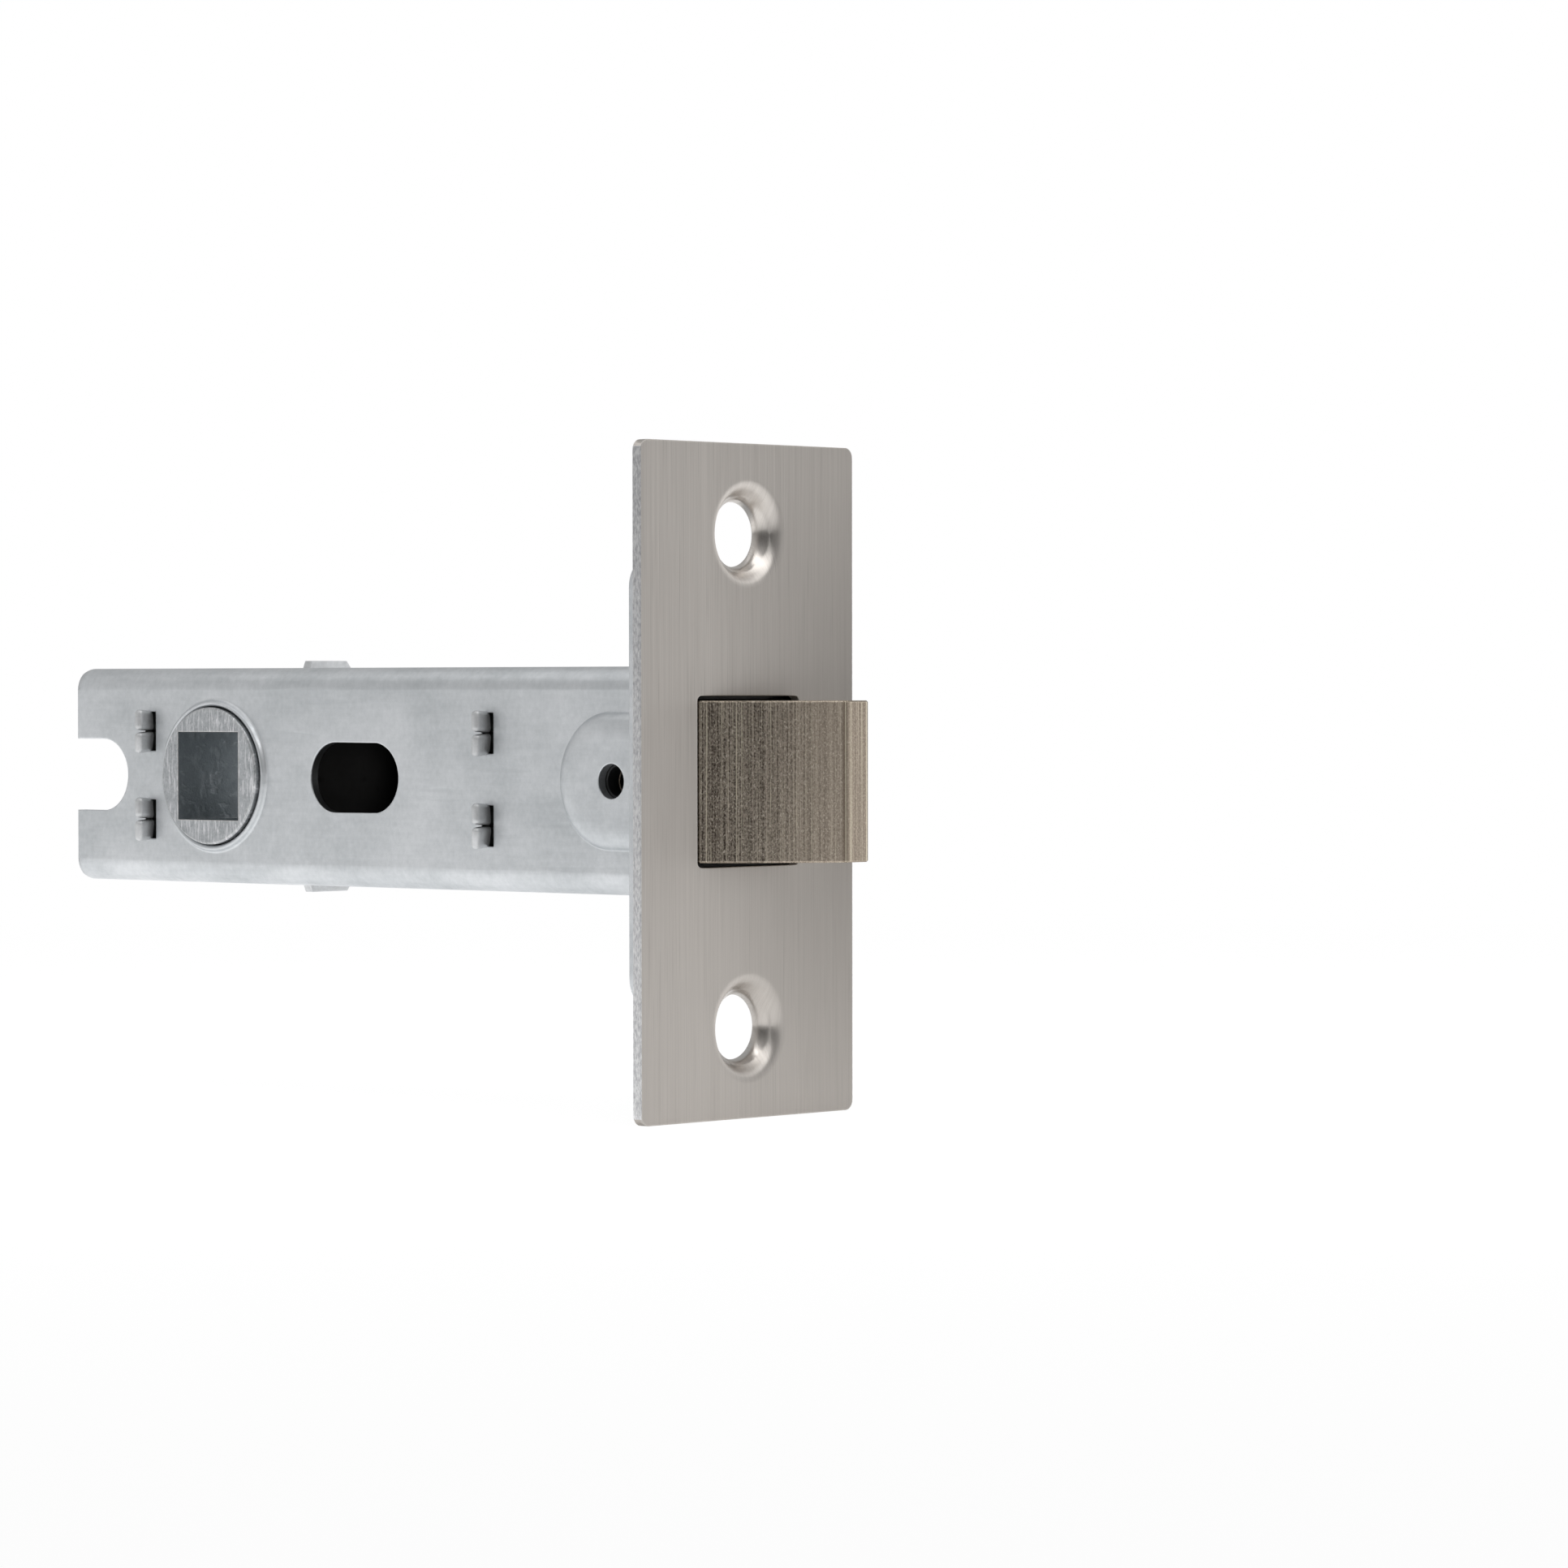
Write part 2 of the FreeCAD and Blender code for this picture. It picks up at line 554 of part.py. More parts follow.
def half_tabs(name, place):
    """Eight half tabs of a bulkhead, spread by the chisel: two to each of its four staked tabs."""
    halves = []
    for side, face in (("near", -1), ("far", 1)):
        for level, up in (("up", 1), ("down", -1)):
            for part, (low, high) in (("low", ("tab_low", "(tab_low + tab_high) / 2")),
                                      ("high", ("(tab_low + tab_high) / 2", "tab_high"))):
                root = "%d * (inner_y - 0.5)" % face
                tip = "%d * (half_depth + tab_proud)" % face
                floor = "%d * (half_depth + tab_proud - tab_notch)" % face
                inner, outer = (high, low) if part == "low" else (low, high)
                shift = "tab_notch_half" if part == "high" else "-tab_notch_half"
                corners = [(root, "%d * (%s)" % (up, outer)), (tip, "%d * (%s)" % (up, outer)),
                           (tip, "%d * (%s + %s)" % (up, inner, shift)), (floor, "%d * (%s)" % (up, inner)),
                           (root, "%d * (%s)" % (up, inner))]
                label = "_".join((name, side, level, part))
                halves.append(prism(label, "YZ", corners, "-%s - half_sheet" % place, "-%s + half_sheet" % place))
    return halves


def bulkhead(name, place):
    """A plate across the case with a body that fits the channel's bends, and its staked tabs."""
    plate = block(name + "_plate", ("-%s - half_sheet" % place, "-%s + half_sheet" % place),
                  ("-plate_y", "plate_y"), ("-plate_z", "plate_z"))
    plate = ease(name + "_corners", plate, "case_bend - case_sheet + seat_gap",
                 lambda edge, middle: runs(edge, (1, 0, 0)) and middle.y < 0)
    staked = fuse(name + "_staked", [plate] + half_tabs(name, place))
    proud = size("half_depth + tab_proud")
    return ease(name + "_rounded", staked, "tab_round",
                lambda edge, middle: near(middle.y, -proud) and runs(edge, (0, 0, 1)))


def make_bulkheads():
    front = bulkhead("front_bulkhead", "front_place")
    hole = rod("front_bulkhead_hole", "x", "shank_radius + running_gap", "-front_place - " + PAST,
               "-front_place + " + PAST, ("0", "0"))
    finish("front_bulkhead", cut("front_bulkhead_bored", front, [hole]))
    finish("rear_bulkhead", bulkhead("rear_bulkhead", "rear_place"))


def make_guide_plate():
    """A cross-shaped plate: its ears pass through the flanges, and the yoke's legs run past its arms."""
    span = ("-guide_back", "-guide_front")
    arms = block("guide_arms", span, ("-plate_y", "plate_y"), ("-cross_arm", "cross_arm"))
    post = block("guide_post", span, ("-cross_half", "cross_half"), ("-plate_z", "plate_z"))
    left, right = "ear_middle - ear_half", "ear_middle + ear_half"
    pieces = [arms, post]
    for level, up in (("up", 1), ("down", -1)):
        tip = "%d * (half_height + ear_proud)" % up
        shoulder = "%d * (half_height)" % up
        foot = "%d * (plate_z)" % up
        corners = [("-cross_half", "0"), ("-cross_half", foot), (left, foot), (left, shoulder),
                   (left + " + ear_cut / 2", tip),
                   (right + " - ear_cut", tip), (right, shoulder), (right, "0")]
        pieces.append(prism("guide_ear_" + level, "YZ", corners, *span))
    plate = fuse("guide_cross", pieces)
    holes = [rod("guide_hole_" + level, "x", "spring_pin_neck", "-guide_back - " + PAST,
                 "-guide_front + " + PAST, ("0", z)) for level, z in LEVELS]
    finish("guide_plate", cut("guide_plate", plate, holes))


LEVELS = (("upper", "return_place"), ("lower", "-return_place"))


def make_spring_pins():
    """Headed pins riveted into the guide plate, one inside each return spring."""
    for level, z in LEVELS:
        body = new_body("spring_pin_" + level)
        corners = [("-guide_back - spring_pin_head_thick", "0"),
                   ("-guide_back - spring_pin_head_thick", "spring_pin_neck"),
                   ("-guide_back", "spring_pin_head"), ("-guide_back", "spring_pin_neck"),
                   ("-guide_front", "spring_pin_neck"), ("-guide_front", "spring_pin_radius"),
                   ("-guide_front + spring_pin_length", "spring_pin_radius"),
                   ("-guide_front + spring_pin_length", "0")]
        feature(body, "Revolution", "pin_turned_" + level, drawing(body, "pin_profile_" + level, "XZ", "0",
                                                                  corners, lift=z))
        finish("spring_pin_" + level, body)


# The forend

def make_forend_plate():
    """The visible brushed plate, with two countersinks pressed into it and the bolt's opening."""
    body = new_body("forend_plate")
    outline = drawing(body, "forend_outline", "YZ", "-forend_sheet",
                      rectangle("forend_width / 2", "forend_height / 2"))
    feature(body, "Pad", "forend_sheet_pad", outline, "forend_sheet")
    round_body(body, "forend_corners", "forend_corner", lambda edge, middle: runs(edge, (1, 0, 0)))
    opening = drawing(body, "bolt_opening", "YZ", "0",
                      rectangle("bolt_width / 2 + opening_y", "bolt_height / 2 + opening_z"))
    feature(body, "Pocket", "bolt_opening_cut", opening, "forend_sheet * 2")
    round_body(body, "bolt_opening_corners", "opening_corner",
               lambda edge, middle: runs(edge, (1, 0, 0)) and abs(middle.y) < size("bolt_width")
               and abs(middle.z) < size("bolt_height"))
    lift = "screw_spacing / 2"
    back = drawing(body, "dimple_back", "XZ", "0",
                   [("-forend_sheet / 2", "0"), ("-forend_sheet / 2", "dimple_mouth / 2 + dimple_wall / 2"),
                    ("-forend_sheet", "dimple_mouth / 2 + dimple_wall / 2"),
                    ("-dimple_depth", "screw_hole / 2 + dimple_wall"), ("-dimple_depth", "0")], lift=lift)
    raised = feature(body, "Revolution", "dimple_raised", back)
    sunk = drawing(body, "dimple_front", "XZ", "0",
                   [("1", "0"), ("1", "dimple_mouth / 2 + dimple_roll"), ("0", "dimple_mouth / 2 + dimple_roll"),
                    ("-dimple_roll / 3", "dimple_mouth / 2"),
                    ("-dimple_depth + dimple_wall * 0.75", "screw_hole / 2"), ("-dimple_depth - 1", "screw_hole / 2"),
                    ("-dimple_depth - 1", "0")], lift=lift)
    hollow = feature(body, "Groove", "dimple_hollow", sunk)
    mirror_up_down(body, "dimples_up_down", [raised, hollow])
    wide = size("forend_width / 2") - size("forend_corner") - 0.1
    tall = size("forend_height / 2") - size("forend_corner") - 0.1
    bevel_body(body, "forend_face_edges", "forend_edge",
               lambda edge, middle: near(middle.x, 0) and (abs(middle.y) > wide or abs(middle.z) > tall))
    finish("forend_plate", body)


def make_forend_backplate():
    """The plate behind the visible one, which the case is staked to. It clears the two countersinks."""
    body = new_body("forend_backplate")
    outline = drawing(body, "back_outline", "YZ", "-mouth", rectangle("back_width / 2", "back_height / 2"))
    feature(body, "Pad", "back_pad", outline, "back_sheet")
    round_body(body, "back_corners", "back_corner", lambda edge, middle: runs(edge, (1, 0, 0)))
    opening = drawing(body, "back_opening", "YZ", "-forend_sheet",
                      rectangle("bolt_width / 2 + opening_y", "bolt_height / 2 + opening_z"))
    feature(body, "Pocket", "back_opening_cut", opening, "back_sheet * 2")
    for level, z in (("up", "screw_spacing / 2"), ("down", "-screw_spacing / 2")):
        relief = drawing(body, "dimple_relief_" + level, "YZ", "-forend_sheet", None)
        circle(relief, "dimple_relief", "0", z)
        feature(body, "Pocket", "dimple_relief_cut_" + level, relief, "back_sheet * 2")
    for level, low, high in (("up", "inner_z - seat_gap", "half_height + seat_gap"),
                             ("down", "-half_height - seat_gap", "-inner_z + seat_gap")):
        side = "stake_width / 2 + seat_gap"
        slot = drawing(body, "stake_slot_" + level, "YZ", "-forend_sheet",
                       [("-(%s)" % side, low), (side, low), (side, high), ("-(%s)" % side, high)])
        feature(body, "Pocket", "stake_slot_cut_" + level, slot, "back_sheet * 2")
    finish("forend_backplate", body)


def make_bolt_guide():
    """A moulded sleeve in the case's mouth that the bolt runs in, with a pad that fills the emboss."""
    span = ("-guide_end", "-mouth - seat_gap")
    outer = block("guide_outer", span, ("-plate_y", "plate_y"), ("-plate_z", "plate_z"))
    outer = ease("guide_corners", outer, "case_bend - case_sheet + seat_gap",
                 lambda edge, middle: runs(edge, (1, 0, 0)) and middle.y < 0)
    pad = rod("guide_pad", "y", "emboss_top - case_sheet / 2", "-inner_y - emboss_rise + 2 * seat_gap",
              "-inner_y + seat_gap * 2", ("-emboss_middle", "0"))
    sleeve = fuse("guide_sleeve", [outer, pad])
    bore = block("guide_bore", ("-guide_end - " + PAST, "-mouth + " + PAST),
                 ("-bolt_width / 2 - running_gap", "bolt_width / 2 + running_gap"),
                 ("-bolt_height / 2 - running_gap", "bolt_height / 2 + running_gap"))
    sight = rod("guide_sight", "y", "pin_sight - case_sheet / 4", "-half_depth - " + PAST, "0",
                ("-pin_place", "0"))
    finish("bolt_guide", cut("bolt_guide", sleeve, [bore, sight]))


# The bolt

def make_bolt_head():
    """The bevelled bolt, sawn from drawn bar, with a pocket for its spring and a hole for its shank."""
    body = new_body("bolt_head")
    half = "bolt_width / 2"
    outline = drawing(body, "bolt_profile", "XY", "-bolt_height / 2",
                      [("-bolt_tail", "-" + half), ("0", "-" + half), ("bolt_throw", half + " - bolt_nose"),
                       ("bolt_throw", half), ("-bolt_tail", half)], arcs={1: "bolt_bevel"})
    feature(body, "Pad", "bolt_bar", outline, "bolt_height")
    nose = size("bolt_throw")
    round_body(body, "bolt_nose_edges", "bolt_edge",
               lambda edge, middle: runs(edge, (0, 0, 1)) and near(middle.x, nose))
    top = size("bolt_height / 2")
    tail = size("bolt_tail")
    bevel_body(body, "bolt_arrises", "bolt_arris",
               lambda edge, middle: near(abs(middle.z), top) and middle.x > -tail + 1e-3)
    for name, radius, depth in (("spring_pocket", "pocket_radius", "bolt_tail - spring_pocket"),
                                ("shank_hole", "shank_radius", "bolt_tail - shank_front")):
        bore = drawing(body, name + "_outline", "YZ", "-bolt_tail", None)
        circle(bore, radius)
        hollow = feature(body, "Pocket", name + "_cut", bore, depth)
        hollow.Reversed = True
        doc.recompute()
    cross = drawing(body, "cross_hole_outline", "XZ", "bolt_width / 2 + 1", None)
    circle(cross, "pin_radius", "-pin_place")
    feature(body, "Pocket", "cross_hole_cut", cross, "bolt_width + 2")
    finish("bolt_head", body)


def make_bolt_shank():
    """The turned shank: pinned into the bolt, and riveted over the tail washer at its other end."""
    body = new_body("bolt_shank")
    rivet_end = "-tail_back - rivet_head"
    corners = [("-shank_front", "0"), ("-shank_front", "shank_radius"), ("-tail_front", "shank_radius"),
               ("-tail_front", "rivet_radius"), ("-tail_back", "rivet_radius"),
               ("-tail_back", "rivet_radius + rivet_head"), (rivet_end, "rivet_radius"), (rivet_end, "0")]
    feature(body, "Revolution", "shank_turned", drawing(body, "shank_profile", "XZ", "0", corners))
    cross = drawing(body, "shank_cross_hole", "XZ", "shank_radius + 1", None)
    circle(cross, "pin_radius", "-pin_place")
    feature(body, "Pocket", "shank_cross_cut", cross, "shank_radius * 2 + 2")
    finish("bolt_shank", body)


def make_small_round_pieces():
    """The cross pin, the tail washer and the two wear washers of the hub."""
    pin = rod("bolt_pin", "y", "pin_radius", "-bolt_width / 2 + pin_sunk", "bolt_width / 2 - pin_sunk",
              ("-pin_place", "0"))
    finish("bolt_pin", pin)
    outer = rod("tail_washer_disc", "x", "tail_radius", "-tail_back", "-tail_front", ("0", "0"))
    hole = rod("tail_washer_hole", "x", "rivet_radius", "-tail_back - 1", "-tail_front + 1", ("0", "0"))
    finish("tail_washer", cut("tail_washer", outer, [hole]))
    for side, low, high in (("near", "-plate_y", "-plate_y + washer_sheet"),
                            ("far", "plate_y - washer_sheet", "plate_y")):
        disc = rod("washer_disc_" + side, "y", "washer_radius", low, high, ("-backset", "0"))
        hole = rod("washer_hole_" + side, "y", "hub_hole", low + " - 1", high + " + 1", ("-backset", "0"))
        finish("hub_washer_" + side, cut("hub_washer_" + side, disc, [hole]))


# The hub and the yoke

def horn(level, up):
    """One horn of the hub: a wedge from the barrel to a round tip, up or down from the case's axis."""
    def turned(along, across):
        """A point at a distance along the horn and across it."""
        x = "-backset + (%s) * cos(horn_angle) - (%s) * sin(horn_angle)" % (along, across)
        z = "%d * ((%s) * sin(horn_angle) + (%s) * cos(horn_angle))" % (up, along, across)
        return x, z
    corners = [turned("hub_radius * 0.7", "-horn_root"), turned("horn_reach", "-horn_tip"),
               turned("horn_reach", "horn_tip"), turned("hub_radius * 0.7", "horn_root")]
    wedge = prism("horn_wedge_" + level, "XZ", corners, "-horn_half", "horn_half")
    tip = rod("horn_tip_" + level, "y", "horn_tip", "-horn_half", "horn_half", turned("horn_reach", "0"))
    return [wedge, tip]


def make_hub():
    """The hub: a barrel through both walls, wider between them, and two horns that push the yoke."""
    barrel = rod("hub_barrel", "y", "hub_radius", "-hub_half", "hub_half", ("-backset", "0"))
    barrel = ease("hub_barrel_edges", barrel, "collar_round / 2",
                  lambda edge, middle: isinstance(edge.Curve, Part.Circle), "Part::Chamfer")
    side = "plate_y - washer_sheet - seat_gap"
    wide = rod("hub_shoulders", "y", "hub_shoulder", "-(%s)" % side, side, ("-backset", "0"))
    pieces = [barrel, wide] + horn("upper", 1) + horn("lower", -1)
    solid = fuse("hub_solid", pieces)
    square = block("spindle_hole", ("-backset - hub_square / 2", "-backset + hub_square / 2"),
                   ("-hub_half - 1", "hub_half + 1"), ("-hub_square / 2", "hub_square / 2"))
    finish("hub", cut("hub", solid, [square]))


def make_yoke():
    """The retractor yoke, folded from one strip: a web in front, two legs that straddle the
    through-bolt slot and fork round the hub, and four drive tabs turned in at their ends."""
    rear = "-drive_face - yoke_sheet"
    outer = block("yoke_outer", (rear, "-web_front"), ("-yoke_half", "yoke_half"), ("-yoke_z", "yoke_z"))
    outer = ease("yoke_bends", outer, "yoke_bend",
                 lambda edge, middle: runs(edge, (0, 0, 1)) and middle.x > -size("web_back"))
    inner = block("yoke_inner", (rear + " - " + PAST, "-web_back"),
                  ("-yoke_half + yoke_sheet", "yoke_half - yoke_sheet"), ("-yoke_z - " + PAST, "yoke_z + " + PAST))
    wide = ("-yoke_half - " + PAST, "yoke_half + " + PAST)
    window = block("yoke_window", ("-fork_front - " + PAST, "-window_front"), wide, ("-window_z", "window_z"))
    fork = block("yoke_fork", (rear + " - " + PAST, "-fork_front"), wide, ("-fork_z", "fork_z"))
    hole = rod("yoke_hole", "x", "shank_radius + running_gap", "-web_back - " + PAST, "-web_front + " + PAST,
               ("0", "0"))
    folded = cut("yoke_folded", outer, [inner, window, fork, hole])
    tabs = []
    for side, y in (("near", ("-yoke_half + yoke_sheet / 2", "-drive_inner")),
                    ("far", ("drive_inner", "yoke_half - yoke_sheet / 2"))):
        for level, z in (("up", ("drive_low", "yoke_z")), ("down", ("-yoke_z", "-drive_low"))):
            tabs.append(block("_".join(("drive_tab", side, level)), (rear, "-drive_face"), y, z))
    finish("retractor_yoke", fuse("retractor_yoke", [folded] + tabs))


# The springs

def coil(name, radius, wire, turns, low, high, height):
    """A compression spring along X between two places: a wire of flat-sided section swept along a
    helix that is taken in short straight lengths, so that it meshes with few faces."""
    reach = size("(%s) - (%s) - %s - 2 * seat_gap" % (high, low, wire))
    mean = size(radius)
    half_wire = size(wire) / 2
    count = int(size(turns) * STEPS)
    spots = []
    for step in range(count + 1):
        angle = 2 * math.pi * step / STEPS
        spots.append(V(mean * math.cos(angle), mean * math.sin(angle), reach * step / count))
    section = []
    for corner in range(FACETS + 1):
        angle = 2 * math.pi * corner / FACETS
        section.append(V(mean + half_wire * math.cos(angle), 0, half_wire * math.sin(angle)))
    path = Part.makePolygon(spots)
    mitred = 1
    solid = path.makePipeShell([Part.makePolygon(section)], True, False, mitred)
    spring = doc.addObject("Part::Feature", name)
    spring.Shape = solid
    start = size(low) + half_wire + size("seat_gap")
    spring.Placement = FreeCAD.Placement(V(start, 0, size(height)), TURN["x"])
    finish(name, spring)


def make_springs():
    coil("bolt_spring", "bolt_spring_radius", "bolt_spring_wire", "bolt_spring_turns",
         "-front_place + half_sheet", "-spring_pocket", "0")
    for level, z in LEVELS:
        coil("return_spring_" + level, "return_radius", "return_wire", "return_turns",
             "-guide_front", "-web_back", z)


for make in (make_case_channel, make_case_cover, make_bulkheads, make_guide_plate, make_spring_pins,
             make_forend_plate, make_forend_backplate, make_bolt_guide, make_bolt_head, make_bolt_shank,
             make_small_round_pieces, make_hub, make_yoke, make_springs):
    make()
doc.recompute()

for thing in doc.Objects:
    if "Invalid" in thing.State or "Error" in thing.State:
        raise RuntimeError("%s did not build: %s" % (thing.Name, thing.State))
for name, thing in NODES.items():
    shape = thing.Shape
    if shape.isNull() or not shape.isValid() or len(shape.Solids) != 1:
        raise RuntimeError("%s is not one valid solid" % name)

os.makedirs("parts", exist_ok=True)
for name, thing in NODES.items():
    thing.Shape.exportStep("parts/%s.step" % name)
    box = thing.Shape.BoundBox
    print("%-22s %8.2f mm3  x %7.2f %7.2f  y %6.2f %6.2f  z %6.2f %6.2f" % (
        name, thing.Shape.Volume, box.XMin, box.XMax, box.YMin, box.YMax, box.ZMin, box.ZMax))
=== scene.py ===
# %% [markdown]
# # A tubular door latch, dressed for its photograph
# The latch is a sheet steel case with a brushed forend plate on its front, a sprung bolt that
# looks out of the forend, and a hub that a square spindle turns. The solids were drawn in a CAD
# program and packed as a fixed frame. This notebook never moves them. It gives each one a metal
# finish, presses the case and the forend again as soft-edged sheet, winds proper round springs in
# place of the coarse ones, and sets up the floor, the lights and the camera.

import json
import math

import bmesh
import bpy
from mathutils import Matrix, Vector
from mathutils.geometry import interpolate_bezier


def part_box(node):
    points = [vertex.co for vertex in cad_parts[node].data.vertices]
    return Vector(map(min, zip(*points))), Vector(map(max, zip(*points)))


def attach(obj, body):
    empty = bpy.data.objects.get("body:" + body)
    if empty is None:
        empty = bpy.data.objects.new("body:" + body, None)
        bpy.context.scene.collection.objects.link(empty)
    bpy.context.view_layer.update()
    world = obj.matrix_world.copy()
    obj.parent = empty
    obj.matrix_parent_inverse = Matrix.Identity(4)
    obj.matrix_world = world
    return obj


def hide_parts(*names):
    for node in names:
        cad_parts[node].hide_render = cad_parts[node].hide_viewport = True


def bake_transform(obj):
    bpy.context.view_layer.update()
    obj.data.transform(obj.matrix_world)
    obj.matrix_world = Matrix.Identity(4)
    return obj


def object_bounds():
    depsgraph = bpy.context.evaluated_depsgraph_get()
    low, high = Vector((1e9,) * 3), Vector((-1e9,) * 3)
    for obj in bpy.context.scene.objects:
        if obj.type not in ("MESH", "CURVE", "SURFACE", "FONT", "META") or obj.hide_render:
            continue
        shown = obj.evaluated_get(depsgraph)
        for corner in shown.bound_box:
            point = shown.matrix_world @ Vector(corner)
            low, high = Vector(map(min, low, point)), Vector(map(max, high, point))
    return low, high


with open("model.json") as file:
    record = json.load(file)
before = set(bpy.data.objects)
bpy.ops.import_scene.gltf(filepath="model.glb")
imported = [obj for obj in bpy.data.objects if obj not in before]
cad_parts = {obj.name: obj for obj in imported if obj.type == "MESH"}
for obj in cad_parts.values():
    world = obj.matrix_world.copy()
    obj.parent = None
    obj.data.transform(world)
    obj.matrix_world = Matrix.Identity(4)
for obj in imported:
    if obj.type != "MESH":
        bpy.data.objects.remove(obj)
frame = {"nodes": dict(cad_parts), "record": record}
nodes = frame["nodes"]
cad_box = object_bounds()
print("loaded", len(nodes), "nodes, box", [round(v, 4) for v in (*cad_box[0], *cad_box[1])])

# %% [markdown]
# ## Shader maths as Python expressions
# A metal finish is mostly sums: grain plus smudges, less scratches. Blender does such sums with
# Math nodes, and wiring those by hand is hard to read. So a small class stands for one output of
# a node, and the signs + - * on it, and abs() of it, add the Math node.

# %% Wire, one output of a node
class Wire:
    """One number, colour or vector that comes out of a node."""

    def __init__(self, bench, socket):
        self.bench = bench
        self.socket = socket

    def sum_with(self, operation, first, second):
        values = {0: first, 1: second}
        return self.bench.node("ShaderNodeMath", {"operation": operation}, values)

    def __add__(self, other):
        return self.sum_with("ADD", self, other)

    def __radd__(self, other):
        return self.sum_with("ADD", other, self)

    def __sub__(self, other):
        return self.sum_with("SUBTRACT", self, other)

    def __rsub__(self, other):
        return self.sum_with("SUBTRACT", other, self)

    def __mul__(self, other):
        return self.sum_with("MULTIPLY", self, other)

    def __rmul__(self, other):
        return self.sum_with("MULTIPLY", other, self)

    def __abs__(self):
        return self.bench.node("ShaderNodeMath", {"operation": "ABSOLUTE"}, {0: self})


print("wires ready")

# %% [markdown]
# Another class, Bench, holds a node tree and has one method that adds any other node: it takes
# the node's type, its settings, and the values of its sockets. With it a node is one line, where
# the node editor's own steps would be four or five.

# %% Bench, a node tree
class Bench:
    """A node tree, emptied, and the way to add nodes to it."""

    def __init__(self, tree):
        self.tree = tree
        self.tree.nodes.clear()

    def node(self, kind, settings=None, values=None, output=0):
        """Adds a node, sets its settings and then its sockets, and returns one of its outputs."""
        added = self.tree.nodes.new(kind)
        for name, setting in (settings or {}).items():
            setattr(added, name, setting)
        for name, value in (values or {}).items():
            if isinstance(value, Wire):
                self.tree.links.new(value.socket, added.inputs[name])
            else:
                added.inputs[name].default_value = value
        return Wire(self, added.outputs[output]) if added.outputs else None

    def limits(self, value, low, high, to_low=0.0, to_high=1.0):
        """Stretches low..high to to_low..to_high, and holds what lies outside."""
        return self.node("ShaderNodeMapRange", {"clamp": True},
                         {"Value": value, "From Min": low, "From Max": high, "To Min": to_low,
                          "To Max": to_high})

    def blend(self, share, first, second):
        """A mix of two colours. The Mix node has its colours at sockets 6 and 7, and gives 2."""
        return self.node("ShaderNodeMix", {"data_type": "RGBA"}, {0: share, 6: first, 7: second},
                         output=2)


print("bench ready")

# %% [markdown]
# A Finish is a Bench whose tree is a new material. It knows what all the metals here are made of:
# the place of a point in the metal, noise that is stretched along an axis, a band of wear on the
# sharp edges, and the shader that closes the material. Every pattern reads Object coordinates,
# which are metres here, so it stays on its piece and its scale is a real one.

# %% Finish, a material
BORDER = 0.00005            # width of the border between two looks, in metres
EDGE_SAMPLES = 6


class Finish(Bench):
    """A material and the nodes that make it."""

    def __init__(self, name):
        self.material = bpy.data.materials.new(name)
        self.material.use_nodes = True
        super().__init__(self.material.node_tree)

    def place(self, scale):
        """Object coordinates in metres, stretched by one number for each axis."""
        spot = self.node("ShaderNodeTexCoord", output="Object")
        return self.node("ShaderNodeVectorMath", {"operation": "MULTIPLY"}, {0: spot, 1: scale})

    def along(self, axis):
        """The place along one axis, X, Y or Z, in metres."""
        spot = self.node("ShaderNodeTexCoord", output="Object")
        return self.node("ShaderNodeSeparateXYZ", None, {0: spot}, output=axis)

    def inside(self, half_y, half_z, rear):
        """1 inside a square tube along X that is closed at the rear, and 0 outside it."""
        in_y = self.limits(abs(self.along("Y")), half_y, half_y + BORDER, 1.0, 0.0)
        in_z = self.limits(abs(self.along("Z")), half_z, half_z + BORDER, 1.0, 0.0)
        return in_y * in_z * self.limits(self.along("X"), rear, rear + BORDER)

    def grain(self, scale, detail=3.0, roughness=0.6):
        """Noise from 0 to 1, whose scale along each axis is in grains to the metre."""
        return self.node("ShaderNodeTexNoise", None,
                         {"Vector": self.place(scale), "Scale": 1.0, "Detail": detail,
                          "Roughness": roughness})

    def edges(self, radius):
        """1 on the sharp edges of the metal and 0 on its flats, for a wear band of a radius."""
        soft = self.node("ShaderNodeBevel", {"samples": EDGE_SAMPLES}, {"Radius": radius})
        true = self.node("ShaderNodeNewGeometry", output="Normal")
        same = self.node("ShaderNodeVectorMath", {"operation": "DOT_PRODUCT"}, {0: soft, 1: true},
                         output="Value")
        return self.limits(1.0 - same, 0.02, 0.2)

    def close(self, colour, roughness, metallic, height, depth, edge=0.0, stretch=0.0):
        """The metal shader and its bump. height runs from 0 to 1 and is depth metres deep.
        edge is the radius by which sharp edges are softened in the shading, and stretch is how
        far the gloss is drawn out sideways."""
        bump = {"Height": height, "Distance": depth, "Strength": 1.0}
        if edge:
            bump["Normal"] = self.node("ShaderNodeBevel", {"samples": EDGE_SAMPLES},
                                       {"Radius": edge})
        normal = self.node("ShaderNodeBump", None, bump)
        shader = self.node("ShaderNodeBsdfPrincipled", None,
                           {"Base Color": colour, "Roughness": roughness, "Metallic": metallic,
                            "Normal": normal, "Anisotropic": stretch})
        self.node("ShaderNodeOutputMaterial", None, {"Surface": shader})
        return self.material


def paint(red, green, blue):
    """A colour from its three shares as a picture file gives them, from 0 to 1."""
    shares = (red, green, blue)
    linear = [((c + 0.055) / 1.055) ** 2.4 if c > 0.04045 else c / 12.92 for c in shares]
    return (*linear, 1.0)


print("finishes ready, middle grey is", round(paint(0.5, 0.5, 0.5)[0], 3))

